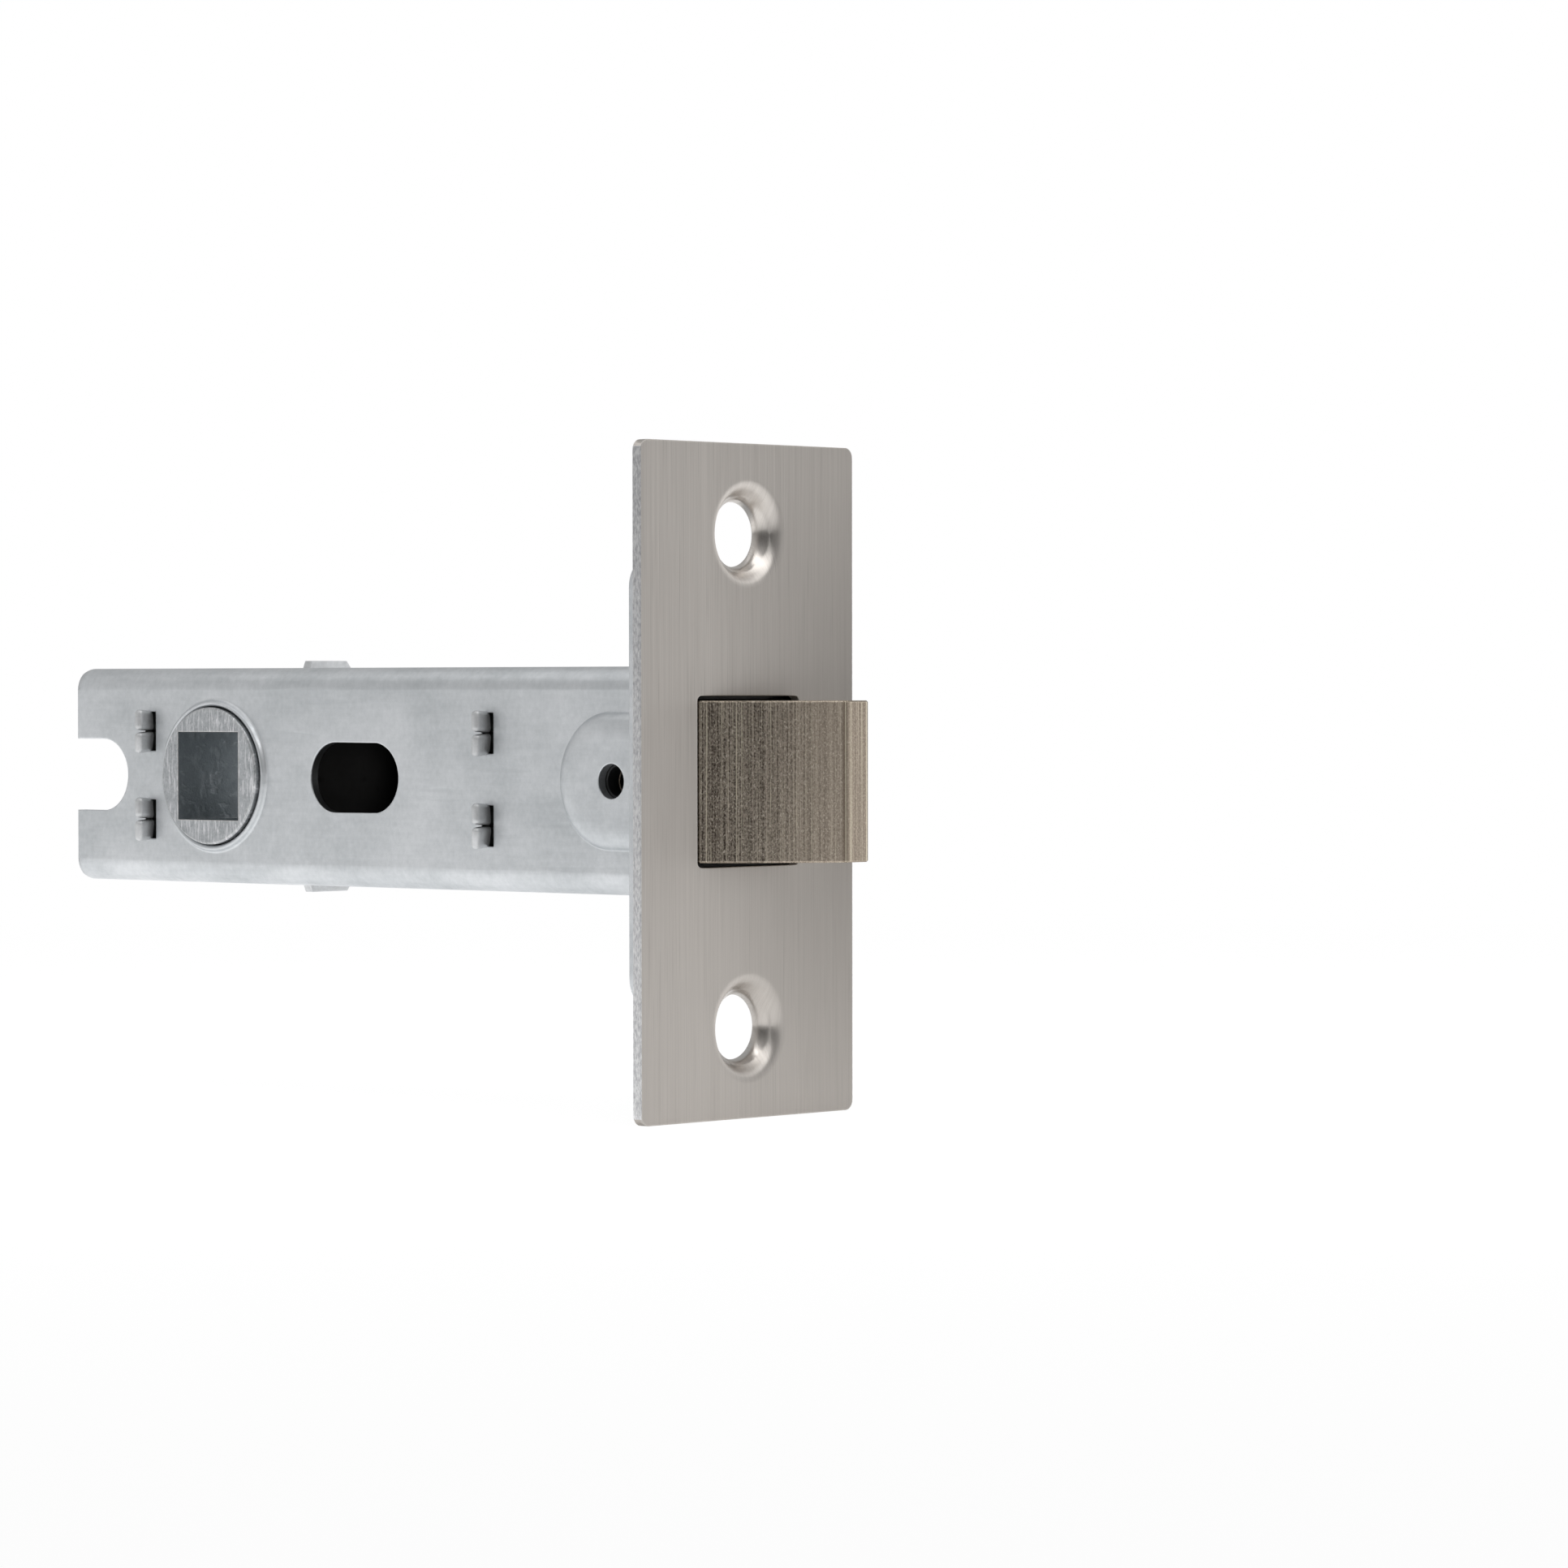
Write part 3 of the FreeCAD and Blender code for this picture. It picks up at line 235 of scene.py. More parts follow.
# %% [markdown]
# ## Zinc plated sheet
# The case is pressed from zinc plated strip. Three things show on such strip: a fine rolling
# grain along its length, a cloudy bloom where the plating dulls, and a few stray scratches from
# handling. A picture of metal could be laid over the case, but it would repeat, and stretch in
# the bends. Here each of the three is a noise of its own scale. Shade is painted into the colour
# where little light reaches: the finish asks where a point lies, and within the walls of the case
# it is painted nearly black, and the cut walls of the holes are painted dark as well. The
# through-bolt slot then looks into a dark case, as on the real latch. The clefts of the inner
# plates' staked tabs get painted shade too.

# %% Zinc finish
ROLLED = (160.0, 900.0, 2600.0)     # rolling grain: long along X and fine across
CLOUD = (110.0, 160.0, 180.0)       # bloom, in patches of several millimetres
SPECK = (1900.0, 1900.0, 1500.0)    # crystal speckle of the plating
STRAY = (60.0, 700.0, 700.0)        # scratches, long along X
# the colour of painted shade: inside the case, on the cut walls of its holes and in the tabs'
# clefts
PAINTED_SHADE = paint(0.085, 0.082, 0.08)
WALL_Y = 0.00696                    # just outside the inner faces of the case's walls
WALL_Z = 0.00906
WALL_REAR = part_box("rear_bulkhead")[0].x + 0.0001
CUT_Y = 0.00764                     # just inside the outer faces, for the cut walls of the holes
CUT_Z = 0.0066
CLEFT_Z = 0.0041                    # height of the clefts above and below the middle
CLEFT_SHADE = (0.00005, 0.0002)      # distances from a cleft at which its painted shade thins and ends


def zinc_finish(name, light, dark, shine, cleft_z=0.0):
    """Zinc plating from a light and a dark colour and a middle roughness. Shade is painted nearly
    black inside the case and on the cut walls of its holes, and in clefts at the height cleft_z if
    one is given."""
    zinc = Finish(name)
    rolled = zinc.grain(ROLLED)
    cloud = zinc.grain(CLOUD, detail=4.0)
    speck = zinc.grain(SPECK, detail=4.0, roughness=0.7)
    scratch = zinc.limits(zinc.grain(STRAY, detail=1.0), 0.66, 0.72)
    shade = 0.35 * zinc.limits(cloud, 0.3, 0.7) + 0.2 * rolled + 0.45 * speck
    tint = zinc.blend(zinc.limits(shade, 0.3, 0.7), dark, light)
    tint = zinc.blend(0.25 * scratch, tint, dark)
    tint = zinc.blend(0.5 * zinc.edges(0.0003), tint, paint(0.93, 0.94, 0.95))
    # painted shade: the cut walls of the holes, and then the whole inside of the case, are painted
    # nearly black
    tint = zinc.blend(0.85 * zinc.inside(CUT_Y, CUT_Z, WALL_REAR), tint, PAINTED_SHADE)
    tint = zinc.blend(0.985 * zinc.inside(WALL_Y, WALL_Z, WALL_REAR), tint, PAINTED_SHADE)
    # painted shade in the clefts of the staked tabs, thinning away from each cleft
    if cleft_z:
        off = abs(abs(zinc.along("Z")) - cleft_z)
        tint = zinc.blend(zinc.limits(off, *CLEFT_SHADE, 0.75, 0.0), tint, PAINTED_SHADE)
    rough = zinc.limits(shade, 0.2, 0.8, shine + 0.07, shine - 0.07) + 0.08 * scratch
    height = 0.25 * rolled + 0.6 * speck + 0.8 * cloud - 0.3 * scratch
    return zinc.close(tint, rough, 0.9, height, 0.00002, edge=0.0002)


case_zinc = zinc_finish("zinc_sheet", paint(0.84, 0.85, 0.86), paint(0.745, 0.76, 0.77), 0.42)
inner_zinc = zinc_finish("inner_zinc", paint(0.86, 0.865, 0.87), paint(0.74, 0.745, 0.75), 0.54,
                         CLEFT_Z)
print("zinc:", len(case_zinc.node_tree.nodes), "nodes")

# %% [markdown]
# ## Brushed forend
# The face of the forend is drawn over a belt, which leaves straight scratches from top to bottom.
# Here a noise that is very fine across the plate and very long down it gives the lines, and the
# same lines go to the colour, the gloss and the bump, so that they agree. Such lines throw the
# light sideways much more than up and down, so the shader is given a strong anisotropy. The belt
# misses the cut sides of the plate, which are torn and bright. Shade is also painted into the
# colour: darker towards the plate's foot, and darker towards its right side, most at the height
# of the bolt, as the bolt's painted shadow. In the countersinks the punch has rubbed the lines
# flat, and the metal is smoother there.

# %% Brushed nickel
SCREW_Z = frame["record"]["mounts"][0]["dims"]["spacing_y_mm"] / 2000
FOREND_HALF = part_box("forend_plate")[1].y
CUT_SIDE = 0.00008          # from this far inside the plate's side it counts as cut
ROLL_START = 0.0048         # radius round a screw hole where the sheet begins to roll back
RUBBED = (0.55, 0.95)       # shares of that radius squared at which the rubbing thins and ends


def brushed_finish():
    nickel = Finish("brushed_nickel")
    across, up = nickel.along("Y"), nickel.along("Z")
    fine = nickel.grain((900.0, 14000.0, 60.0), detail=4.0, roughness=0.75)
    broad = nickel.grain((200.0, 3600.0, 20.0), detail=3.0)
    deep = nickel.limits(nickel.grain((100.0, 9000.0, 90.0), detail=1.0), 0.64, 0.72)
    lines = 0.75 * fine + 0.25 * broad
    tint = nickel.blend(nickel.limits(lines, 0.3, 0.7), paint(0.78, 0.76, 0.74),
                        paint(0.87, 0.85, 0.828))
    # painted shade: the plate is painted darker towards its foot
    foot_shade = nickel.limits(up, -0.029, 0.029, 0.45, 0.0)
    tint = nickel.blend(foot_shade, tint, paint(0.70, 0.68, 0.66))
    # painted shadow of the bolt: darker towards the right side, most near the middle of the height
    bolt_shade = nickel.limits(across, -0.006, 0.0125)
    bolt_shade = bolt_shade * nickel.limits(abs(up), 0.004, 0.027, 1.0, 0.3)
    tint = nickel.blend(0.75 * bolt_shade, tint, paint(0.62, 0.60, 0.58))
    tint = nickel.blend(0.3 * deep, tint, paint(0.60, 0.585, 0.57))
    tint = nickel.blend(0.6 * nickel.edges(0.00025), tint, paint(0.93, 0.92, 0.90))
    torn = nickel.grain((5600.0, 2000.0, 2200.0), detail=4.0, roughness=0.7)
    torn = nickel.blend(nickel.limits(torn, 0.34, 0.62), paint(0.79, 0.79, 0.80),
                        paint(0.97, 0.97, 0.97))
    cut = nickel.limits(abs(across), FOREND_HALF - CUT_SIDE, FOREND_HALF - CUT_SIDE / 2)
    tint = nickel.blend(cut, tint, torn)
    off = abs(up) - SCREW_Z
    pressed = nickel.limits(across * across + off * off, ROLL_START ** 2 * RUBBED[0],
                            ROLL_START ** 2 * RUBBED[1], 1.0, 0.0)
    haze = nickel.grain((60.0, 60.0, 60.0), detail=2.0)
    rough = nickel.limits(lines, 0.3, 0.7, 0.62, 0.54) + 0.06 * haze - 0.28 * pressed
    relief = (lines - 0.4 * deep) * (1.0 - 0.6 * pressed)
    return nickel.close(tint, rough, 1.0, relief, 0.00001, edge=0.00015, stretch=0.85)


forend_nickel = brushed_finish()
print("brushed:", len(forend_nickel.node_tree.nodes), "nodes")

# %% [markdown]
# ## Sawn bolt
# The bolt is cut from plated bar, and its bevel is left as the saw leaves it: streaks from top to
# bottom, some dark and brown, some bright, with flecks between them. One noise can't be both
# streak and fleck, so streaks of two widths are crossed with pits, and the colour runs from brown
# to straw with them. Every closing of the door rubs the bevel a little paler towards the nose.
# Shade is painted on the round of the nose: darker where the round starts, less dark at the tip.

# %% Sawn metal
RUB_X = (0.0035, 0.0074)            # where the paler part of the bevel begins and is full
NOSE_X = (0.00805, 0.0081)          # the same for the painted shade where the round of the nose starts
TIP_X = (0.00825, 0.0084)           # and for the tip, where the painted shade is lighter again


def sawn_finish():
    sawn = Finish("sawn_bolt")
    out = sawn.along("X")
    fine = sawn.grain((12500.0, 12500.0, 45.0), detail=4.0, roughness=0.75)
    broad = sawn.grain((3800.0, 3800.0, 14.0), detail=3.0)
    pits = sawn.grain((6800.0, 6800.0, 5200.0), detail=2.0)
    flecks = sawn.limits(sawn.grain((8200.0, 8200.0, 4600.0), detail=1.0), 0.6, 0.68)
    scored = sawn.limits(sawn.grain((6500.0, 6500.0, 7.0), detail=2.0), 0.63, 0.69)
    streak = 0.42 * fine + 0.24 * broad + 0.34 * pits
    tint = sawn.blend(sawn.limits(streak, 0.42, 0.58), paint(0.22, 0.19, 0.165),
                      paint(0.63, 0.59, 0.54))
    tint = sawn.blend(0.6 * sawn.limits(fine, 0.58, 0.66), tint, paint(0.93, 0.90, 0.80))
    tint = sawn.blend(0.5 * flecks, tint, paint(0.84, 0.80, 0.74))
    tint = sawn.blend(0.3 * sawn.limits(out, *RUB_X), tint, paint(0.84, 0.78, 0.71))
    # painted shade on the round of the nose, lighter again towards the tip
    nose_shade = sawn.limits(out, *NOSE_X, 0.0, 0.65) * sawn.limits(out, *TIP_X, 1.0, 0.45)
    tint = sawn.blend(nose_shade, tint, paint(0.42, 0.37, 0.32))
    tint = sawn.blend(0.75 * scored, tint, paint(0.97, 0.94, 0.84))
    tint = sawn.blend(0.55 * sawn.edges(0.0003), tint, paint(0.90, 0.84, 0.76))
    rough = sawn.limits(streak, 0.3, 0.7, 0.5, 0.34)
    return sawn.close(tint, rough, 0.95, streak, 0.00004, edge=0.0001)


bolt_metal = sawn_finish()
print("sawn:", len(bolt_metal.node_tree.nodes), "nodes")

# %% [markdown]
# ## The hub
# The hub is pressed and plated, and is a little cooler and duller than the case. Handles have been
# fitted to it, which leaves scratches, long and short, that run mostly up and down. A noise is cut
# off at a level to give them, because only its peaks are wanted. The walls of the square hole see
# little light, and their shade is painted into the colour as a darker tint of their own.

# %% Hub metal
HUB_X = (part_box("hub")[0].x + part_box("hub")[1].x) / 2
HUB_FACE = 0.00855      # just inside the hub's two faces, along Y
SQUARE = 0.00409        # half the spindle hole


def hub_finish():
    hub = Finish("hub_metal")
    mottle = hub.grain((900.0, 900.0, 900.0), detail=5.0, roughness=0.7)
    speck = hub.grain((5200.0, 5200.0, 5200.0), detail=2.0)
    long_marks = hub.limits(hub.grain((4200.0, 600.0, 500.0), detail=2.0), 0.52, 0.64)
    short_marks = hub.limits(hub.grain((5600.0, 600.0, 1300.0), detail=2.0), 0.58, 0.68)
    marks = long_marks + short_marks
    tint = hub.blend(hub.limits(0.6 * mottle + 0.4 * speck, 0.35, 0.65), paint(0.585, 0.60, 0.61),
                     paint(0.735, 0.745, 0.755))
    tint = hub.blend(0.55 * marks, tint, paint(0.90, 0.90, 0.91))
    tint = hub.blend(0.6 * hub.edges(0.0003), tint, paint(0.9, 0.89, 0.87))
    # painted shade: the walls of the square hole are painted a darker, cooler tint
    front = HUB_X + SQUARE
    hole = hub.inside(HUB_FACE, SQUARE, HUB_X - SQUARE)
    hole = hole * hub.limits(hub.along("X"), front, front + BORDER, 1.0, 0.0)
    tint = hub.blend(0.85 * hole, tint, paint(0.545, 0.58, 0.60))
    rough = hub.limits(mottle, 0.3, 0.7, 0.52, 0.38)
    height = 0.5 * mottle + 0.3 * speck - 0.4 * marks
    return hub.close(tint, rough, 0.95, height, 0.00003, edge=0.00012)


hub_metal = hub_finish()
print("hub:", len(hub_metal.node_tree.nodes), "nodes")

# %% [markdown]
# ## The springs, the nylon and the pin
# Spring wire is darker and oily. The nylon guide and washers are black and soft in their shine,
# and only peep out round the bolt and the hub. Little of either shows, so two noises are enough
# for each. The bolt's pin is plated like the case, and is the zinc finish in darker colours.

# %% Small finishes
def wire_finish():
    wire = Finish("spring_wire")
    drawn = wire.grain((3000.0, 3000.0, 3000.0), detail=3.0)
    oil = wire.grain((400.0, 400.0, 400.0), detail=2.0)
    tint = wire.blend(wire.limits(drawn, 0.35, 0.65), paint(0.5, 0.5, 0.51),
                      paint(0.68, 0.68, 0.69))
    rough = wire.limits(oil, 0.3, 0.7, 0.36, 0.24)
    return wire.close(tint, rough, 1.0, drawn, 0.000008)


def nylon_finish():
    nylon = Finish("black_nylon")
    cloud = nylon.grain((500.0, 500.0, 500.0), detail=3.0)
    pore = nylon.grain((6000.0, 6000.0, 6000.0), detail=2.0)
    tint = nylon.blend(cloud, paint(0.07, 0.07, 0.075), paint(0.13, 0.13, 0.135))
    rough = nylon.limits(cloud, 0.3, 0.7, 0.42, 0.55)
    return nylon.close(tint, rough, 0.0, pore, 0.00001, edge=0.0002)


spring_wire = wire_finish()
black_nylon = nylon_finish()
dark_pin_steel = zinc_finish("dark_pin_steel", paint(0.22, 0.215, 0.21), paint(0.16, 0.155, 0.15), 0.4)
print("small finishes:", spring_wire.name, black_nylon.name, dark_pin_steel.name)

# %% [markdown]
# ## Dress the solids
# A CAD node brings one plain material of its own. Each node's material slots get the finish that
# the real piece has, and nothing else about the node changes.

# %% Finish of each node
DRESS = {
    "case_channel": case_zinc, "case_cover": case_zinc, "forend_backplate": case_zinc,
    "forend_plate": forend_nickel, "bolt_head": bolt_metal, "hub": hub_metal,
    "bolt_guide": black_nylon, "hub_washer_near": black_nylon, "hub_washer_far": black_nylon,
    "return_spring_upper": spring_wire, "return_spring_lower": spring_wire,
    "bolt_spring": spring_wire, "bolt_pin": dark_pin_steel,
}


def dress(piece, finish):
    """Puts one finish in all the piece's material slots."""
    if not piece.data.materials:
        piece.data.materials.append(finish)
    for index in range(len(piece.data.materials)):
        piece.data.materials[index] = finish


for name, piece in nodes.items():
    dress(piece, DRESS.get(name, inner_zinc))
print("dressed", len(nodes), "nodes")

# %% [markdown]
# ## From a bmesh to a piece
# Every new piece is shaped in a bmesh, which is a mesh in the making that bmesh operators can
# work on. These helpers do what all of them need: lay a circle in a plane, pick the vertices or
# the edges out of what an operator gives back, and stand the finished mesh in the scene.

# %% Helpers for new pieces
SAME = 1e-7             # points closer than this are one point, in metres
VERTEX = bmesh.types.BMVert
EDGE = bmesh.types.BMEdge
ACROSS_X = Matrix.Rotation(math.radians(90), 3, "Y")    # lays a flat shape in the plane across X
ACROSS_Y = Matrix.Rotation(math.radians(90), 3, "X")


def only(kind, parts):
    """The vertices or the edges among an operator's results."""
    return [part for part in parts if isinstance(part, kind)]


def circle(mesh, centre, radius, sides, turn):
    """The vertices of a circle, turned out of the XY plane and moved to its centre."""
    spots = bmesh.ops.create_circle(mesh, segments=sides, radius=radius, cap_ends=False)["verts"]
    bmesh.ops.rotate(mesh, cent=(0, 0, 0), matrix=turn, verts=spots)
    bmesh.ops.translate(mesh, vec=centre, verts=spots)
    return spots


def edges_of(spots):
    """The edges at some vertices, each of them once and always in the same order."""
    return list(dict.fromkeys(edge for spot in spots for edge in spot.link_edges))


def stand(name, mesh, finish):
    """An object of the scene from a finished bmesh, with its finish."""
    data = bpy.data.meshes.new(name)
    mesh.to_mesh(data)
    mesh.free()
    made = bpy.data.objects.new(name, data)
    bpy.context.scene.collection.objects.link(made)
    dress(made, finish)
    return made


def piece_from(name, mesh, finish):
    """A piece of the latch from a finished bmesh, with its finish."""
    piece = stand(name, mesh, finish)
    return piece


print("piece helpers ready")

# %% [markdown]
# ## Round springs
# A spring is a wire wound on a helix, with its last turns closed up flat. In the CAD model the
# wire has flat sides, to keep that model small. A curve with a round bevel could stand for it
# too, but would still have to be turned into a mesh. Here one round section is spun about the
# axis with a step along it for each small turn, which is just what a spring winder does.

# %% Wind a spring
CLOSED = 1.0            # turns at each end that are closed up
TIGHT = 1.02            # pitch of those turns, in thicknesses of the wire
WIRE_SIDES = 12
TURN_STEPS = 24


def wind_spring(name, node, turns, wire):
    """A round-wire compression spring in the box of its CAD node, along X."""
    low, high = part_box(node)
    centre = (low + high) / 2
    mean = (high.z - low.z) / 2 - wire / 2
    reach = high.x - low.x - wire
    mesh = bmesh.new()
    start = Vector((low.x + wire / 2, centre.y, centre.z + mean))
    circle(mesh, start, wire / 2, WIRE_SIDES, ACROSS_Y)
    edges = list(mesh.edges)
    ring_ends = [edges]
    flat = wire * TIGHT * CLOSED
    for share, length in ((CLOSED, flat), (turns, reach - 2 * flat), (CLOSED, flat)):
        steps = int(round(share * TURN_STEPS))
        made = bmesh.ops.spin(mesh, geom=edges, cent=centre, axis=(1, 0, 0),
                              dvec=(length / steps, 0, 0), angle=math.tau * share, steps=steps,
                              use_duplicate=False)
        edges = only(EDGE, made["geom_last"])
    ring_ends.append(edges)
    for ring in ring_ends:
        bmesh.ops.contextual_create(mesh, geom=ring)
    bmesh.ops.remove_doubles(mesh, verts=mesh.verts, dist=SAME)
    bmesh.ops.recalc_face_normals(mesh, faces=mesh.faces)
    for face in mesh.faces:
        face.smooth = len(face.verts) == 4
    spring = piece_from(name, mesh, spring_wire)
    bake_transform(spring)
    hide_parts(node)
    print(name, len(spring.data.polygons), "faces,", turns + 2 * CLOSED, "turns")


wind_spring("bolt_spring_round", "bolt_spring", 4.0, 0.0009)
for level in ("upper", "lower"):
    wind_spring("return_spring_round_" + level, "return_spring_" + level, 9.0, 0.0007)

# %% [markdown]
# ## Pressed sheet
# The forend and the case are sheet metal. Each could be cut out of a block with Booleans, but a
# real sheet is flat stock with holes and drawn forms in it, and that is also the simplest way
# here: outlines are laid in the plane of the sheet, one fill closes it between them, and the
# Solidify modifier gives all of it one thickness. It thickens the inner side only, so the outer
# face stays where it was drawn. A narrow Bevel then breaks the cut edges.

# %% Outlines, drawn forms and thickness
def rounded_loop(mesh, centre, width, height, corner):
    """The outline of an upright rectangle with round corners: width along Y, height along Z."""
    before = set(mesh.faces)
    corners = bmesh.ops.create_grid(mesh, x_segments=1, y_segments=1, size=0.5)["verts"]
    bmesh.ops.rotate(mesh, cent=(0, 0, 0), matrix=ACROSS_X, verts=corners)
    bmesh.ops.scale(mesh, vec=(1, width, height), verts=corners)
    bmesh.ops.translate(mesh, vec=centre, verts=corners)
    bmesh.ops.bevel(mesh, geom=corners, offset=corner, offset_type="OFFSET", affect="VERTICES",
                    segments=5, profile=0.5, material=-1)
    made = [face for face in mesh.faces if face not in before]
    outline = [edge for face in made for edge in face.edges]
    bmesh.ops.delete(mesh, geom=made, context="FACES_ONLY")
    return outline


def spin_curve(mesh, points, centre, axis, sides):
    """A ring of faces from a row of points turned all the way round an axis."""
    spots = [mesh.verts.new(point) for point in points]
    lines = [mesh.edges.new(pair) for pair in zip(spots, spots[1:])]
    known = set(mesh.faces)
    bmesh.ops.spin(mesh, geom=spots + lines, cent=centre, axis=axis, dvec=(0, 0, 0),
                   angle=math.tau, steps=sides, use_merge=True, use_duplicate=False)
    for face in mesh.faces:
        if face not in known:
            face.smooth = True


def turn_out(mesh, outwards):
    """Makes the sheet's outer side face outwards, which its largest flat face shows."""
    way = Vector(outwards)
    bmesh.ops.recalc_face_normals(mesh, faces=mesh.faces)
    flat = max(mesh.faces, key=lambda face: face.calc_area() * abs(face.normal.dot(way)))
    if flat.normal.dot(way) < 0:
        bmesh.ops.reverse_faces(mesh, faces=mesh.faces)


def thicken(piece, sheet, ease, segments, sharp):
    """Gives a sheet its thickness, and breaks the edges that turn by more than sharp degrees."""
    wall = piece.modifiers.new("sheet", "SOLIDIFY")
    wall.thickness = sheet
    wall.offset = -1.0
    wall.use_even_offset = True
    rim = piece.modifiers.new("cut_edges", "BEVEL")
    rim.width = ease
    rim.segments = segments
    rim.limit_method = "ANGLE"
    rim.angle_limit = math.radians(sharp)


print("sheet helpers ready")

# %% [markdown]
# ## The pressed forend plate
# A punch cuts the bolt's opening, and another pushes the metal back round each screw hole, so the
# sheet rolls softly into a countersink and keeps its thickness all the way. The CAD model has
# that as a sharp cone. Here a flat outline with three holes is filled, and a short curve, the
# section of the countersink, is spun round each screw hole.

# %% Press the forend
FOREND_SHEET = 0.00095
FOREND_CORNER = 0.0009
OPENING_PLAY = (0.0005, 0.0008)     # room round the bolt, both sides together, along Y and Z
OPENING_CORNER = 0.0005
SCREW_HOLE = frame["record"]["mounts"][0]["dims"]["hole_r_mm"] / 1000
SINK_SIDES = 64


def countersink():
    """The sheet's outer face from the roll's start to the end of the hole's wall, as radius and
    x. Each of its two curves has its ends and, between them, its handles."""
    roll = interpolate_bezier((ROLL_START, 0), (0.00435, 0), (0.0041, -0.00018),
                              (0.00375, -0.00056), 10)
    neck = interpolate_bezier((0.00318, -0.00122), (0.00292, -0.0015), (SCREW_HOLE, -0.0017),
                              (SCREW_HOLE, -0.0022), 8)
    return [(spot[0], spot[1]) for spot in (*roll, *neck)]


def press_forend():
    low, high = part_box("forend_plate")
    bolt_low, bolt_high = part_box("bolt_head")
    mesh = bmesh.new()
    loops = rounded_loop(mesh, (0, 0, 0), high.y - low.y, high.z - low.z, FOREND_CORNER)
    loops += rounded_loop(mesh, (0, 0, 0), bolt_high.y - bolt_low.y + OPENING_PLAY[0],
                          bolt_high.z - bolt_low.z + OPENING_PLAY[1], OPENING_CORNER)
    for level in (SCREW_Z, -SCREW_Z):
        loops += edges_of(circle(mesh, (0, 0, level), ROLL_START, SINK_SIDES, ACROSS_X))
    bmesh.ops.triangle_fill(mesh, use_beauty=True, edges=loops, normal=(1, 0, 0))
    for level in (SCREW_Z, -SCREW_Z):
        points = [(x, 0, level + radius) for radius, x in countersink()]
        spin_curve(mesh, points, (0, 0, level), (1, 0, 0), SINK_SIDES)
    bmesh.ops.remove_doubles(mesh, verts=mesh.verts, dist=SAME)
    turn_out(mesh, (1, 0, 0))
    forend = piece_from("forend_pressed", mesh, forend_nickel)
    thicken(forend, FOREND_SHEET, 0.00013, 3, 50)
    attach(forend, "case")
    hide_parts("forend_plate")
    print("forend:", len(forend.data.polygons), "faces before its thickness")


press_forend()

# %% [markdown]
# ## Staked tabs
# The two bulkheads are held by tabs that stand through slots in the case. A chisel struck on each
# end splits it in two lobes and spreads them, like a rivet. The blow is never square, so the
# lobes lean apart by different angles and the cleft between them slants. Carving one block would
# take many cuts. Two blocks side by side, with their edges rolled over everywhere but at the
# root, do it with two bevels. The other tabs of a bulkhead are copies of the first.

# %% Stake a tab
TAB_MIDDLE = (-0.0079, 0.004075)        # middle of the upper near tab: y, z
LOBE_DEEP = (0.00045, 0.00146)          # half a lobe's thickness and length
LOBES = ((0.00085, 0.00095, -5, -5),    # middle above the tab's, half height, and degrees that it
         (-0.00082, 0.00098, 6, 8))     # leans about X and twists about Y
LOBE_ROLL = 0.00042


def stake_tab(mesh, place):
    """The upper near tab of the bulkhead whose middle is at x = place."""
    for rise, half, lean, twist in LOBES:
        known = set(mesh.verts)
        spots = bmesh.ops.create_cube(mesh, size=2.0)["verts"]
        bmesh.ops.scale(mesh, vec=(LOBE_DEEP[0], LOBE_DEEP[1], half), verts=spots)
        rolled = edges_of(spot for spot in spots if spot.co.y < 0)
        bmesh.ops.bevel(mesh, geom=rolled, offset=LOBE_ROLL, offset_type="OFFSET", affect="EDGES",
                        segments=5, profile=0.5, material=-1, clamp_overlap=True)
        spots = [spot for spot in mesh.verts if spot not in known]
        root = (0, LOBE_DEEP[1], 0)
        for angle, axis in ((lean, "X"), (twist, "Y")):
            bmesh.ops.rotate(mesh, cent=root, matrix=Matrix.Rotation(math.radians(angle), 3, axis),
                             verts=spots)
        bmesh.ops.translate(mesh, vec=(place, TAB_MIDDLE[0], TAB_MIDDLE[1] + rise), verts=spots)
    for face in mesh.faces:
        face.smooth = True


print("a tab has", len(LOBES), "lobes")

# %% [markdown]
# The plate of a bulkhead lies inside the case, where little of it shows. It is filled between its
# outline and the hole for the bolt's shank, and pushed out to its thickness. It has no drawn
# forms, so an extrusion is enough and no modifier is needed.

# %% Stake the bulkheads
PLATE_Y = 0.00684                       # half a bulkhead, inside the case
PLATE_Z = 0.00894
PLATE_CORNER = 0.0011
SHANK_HOLE = 0.00258
OTHER_TABS = ((0, -2), (180, 2), (180, 0))      # degrees about X, then steps up of the tab's z


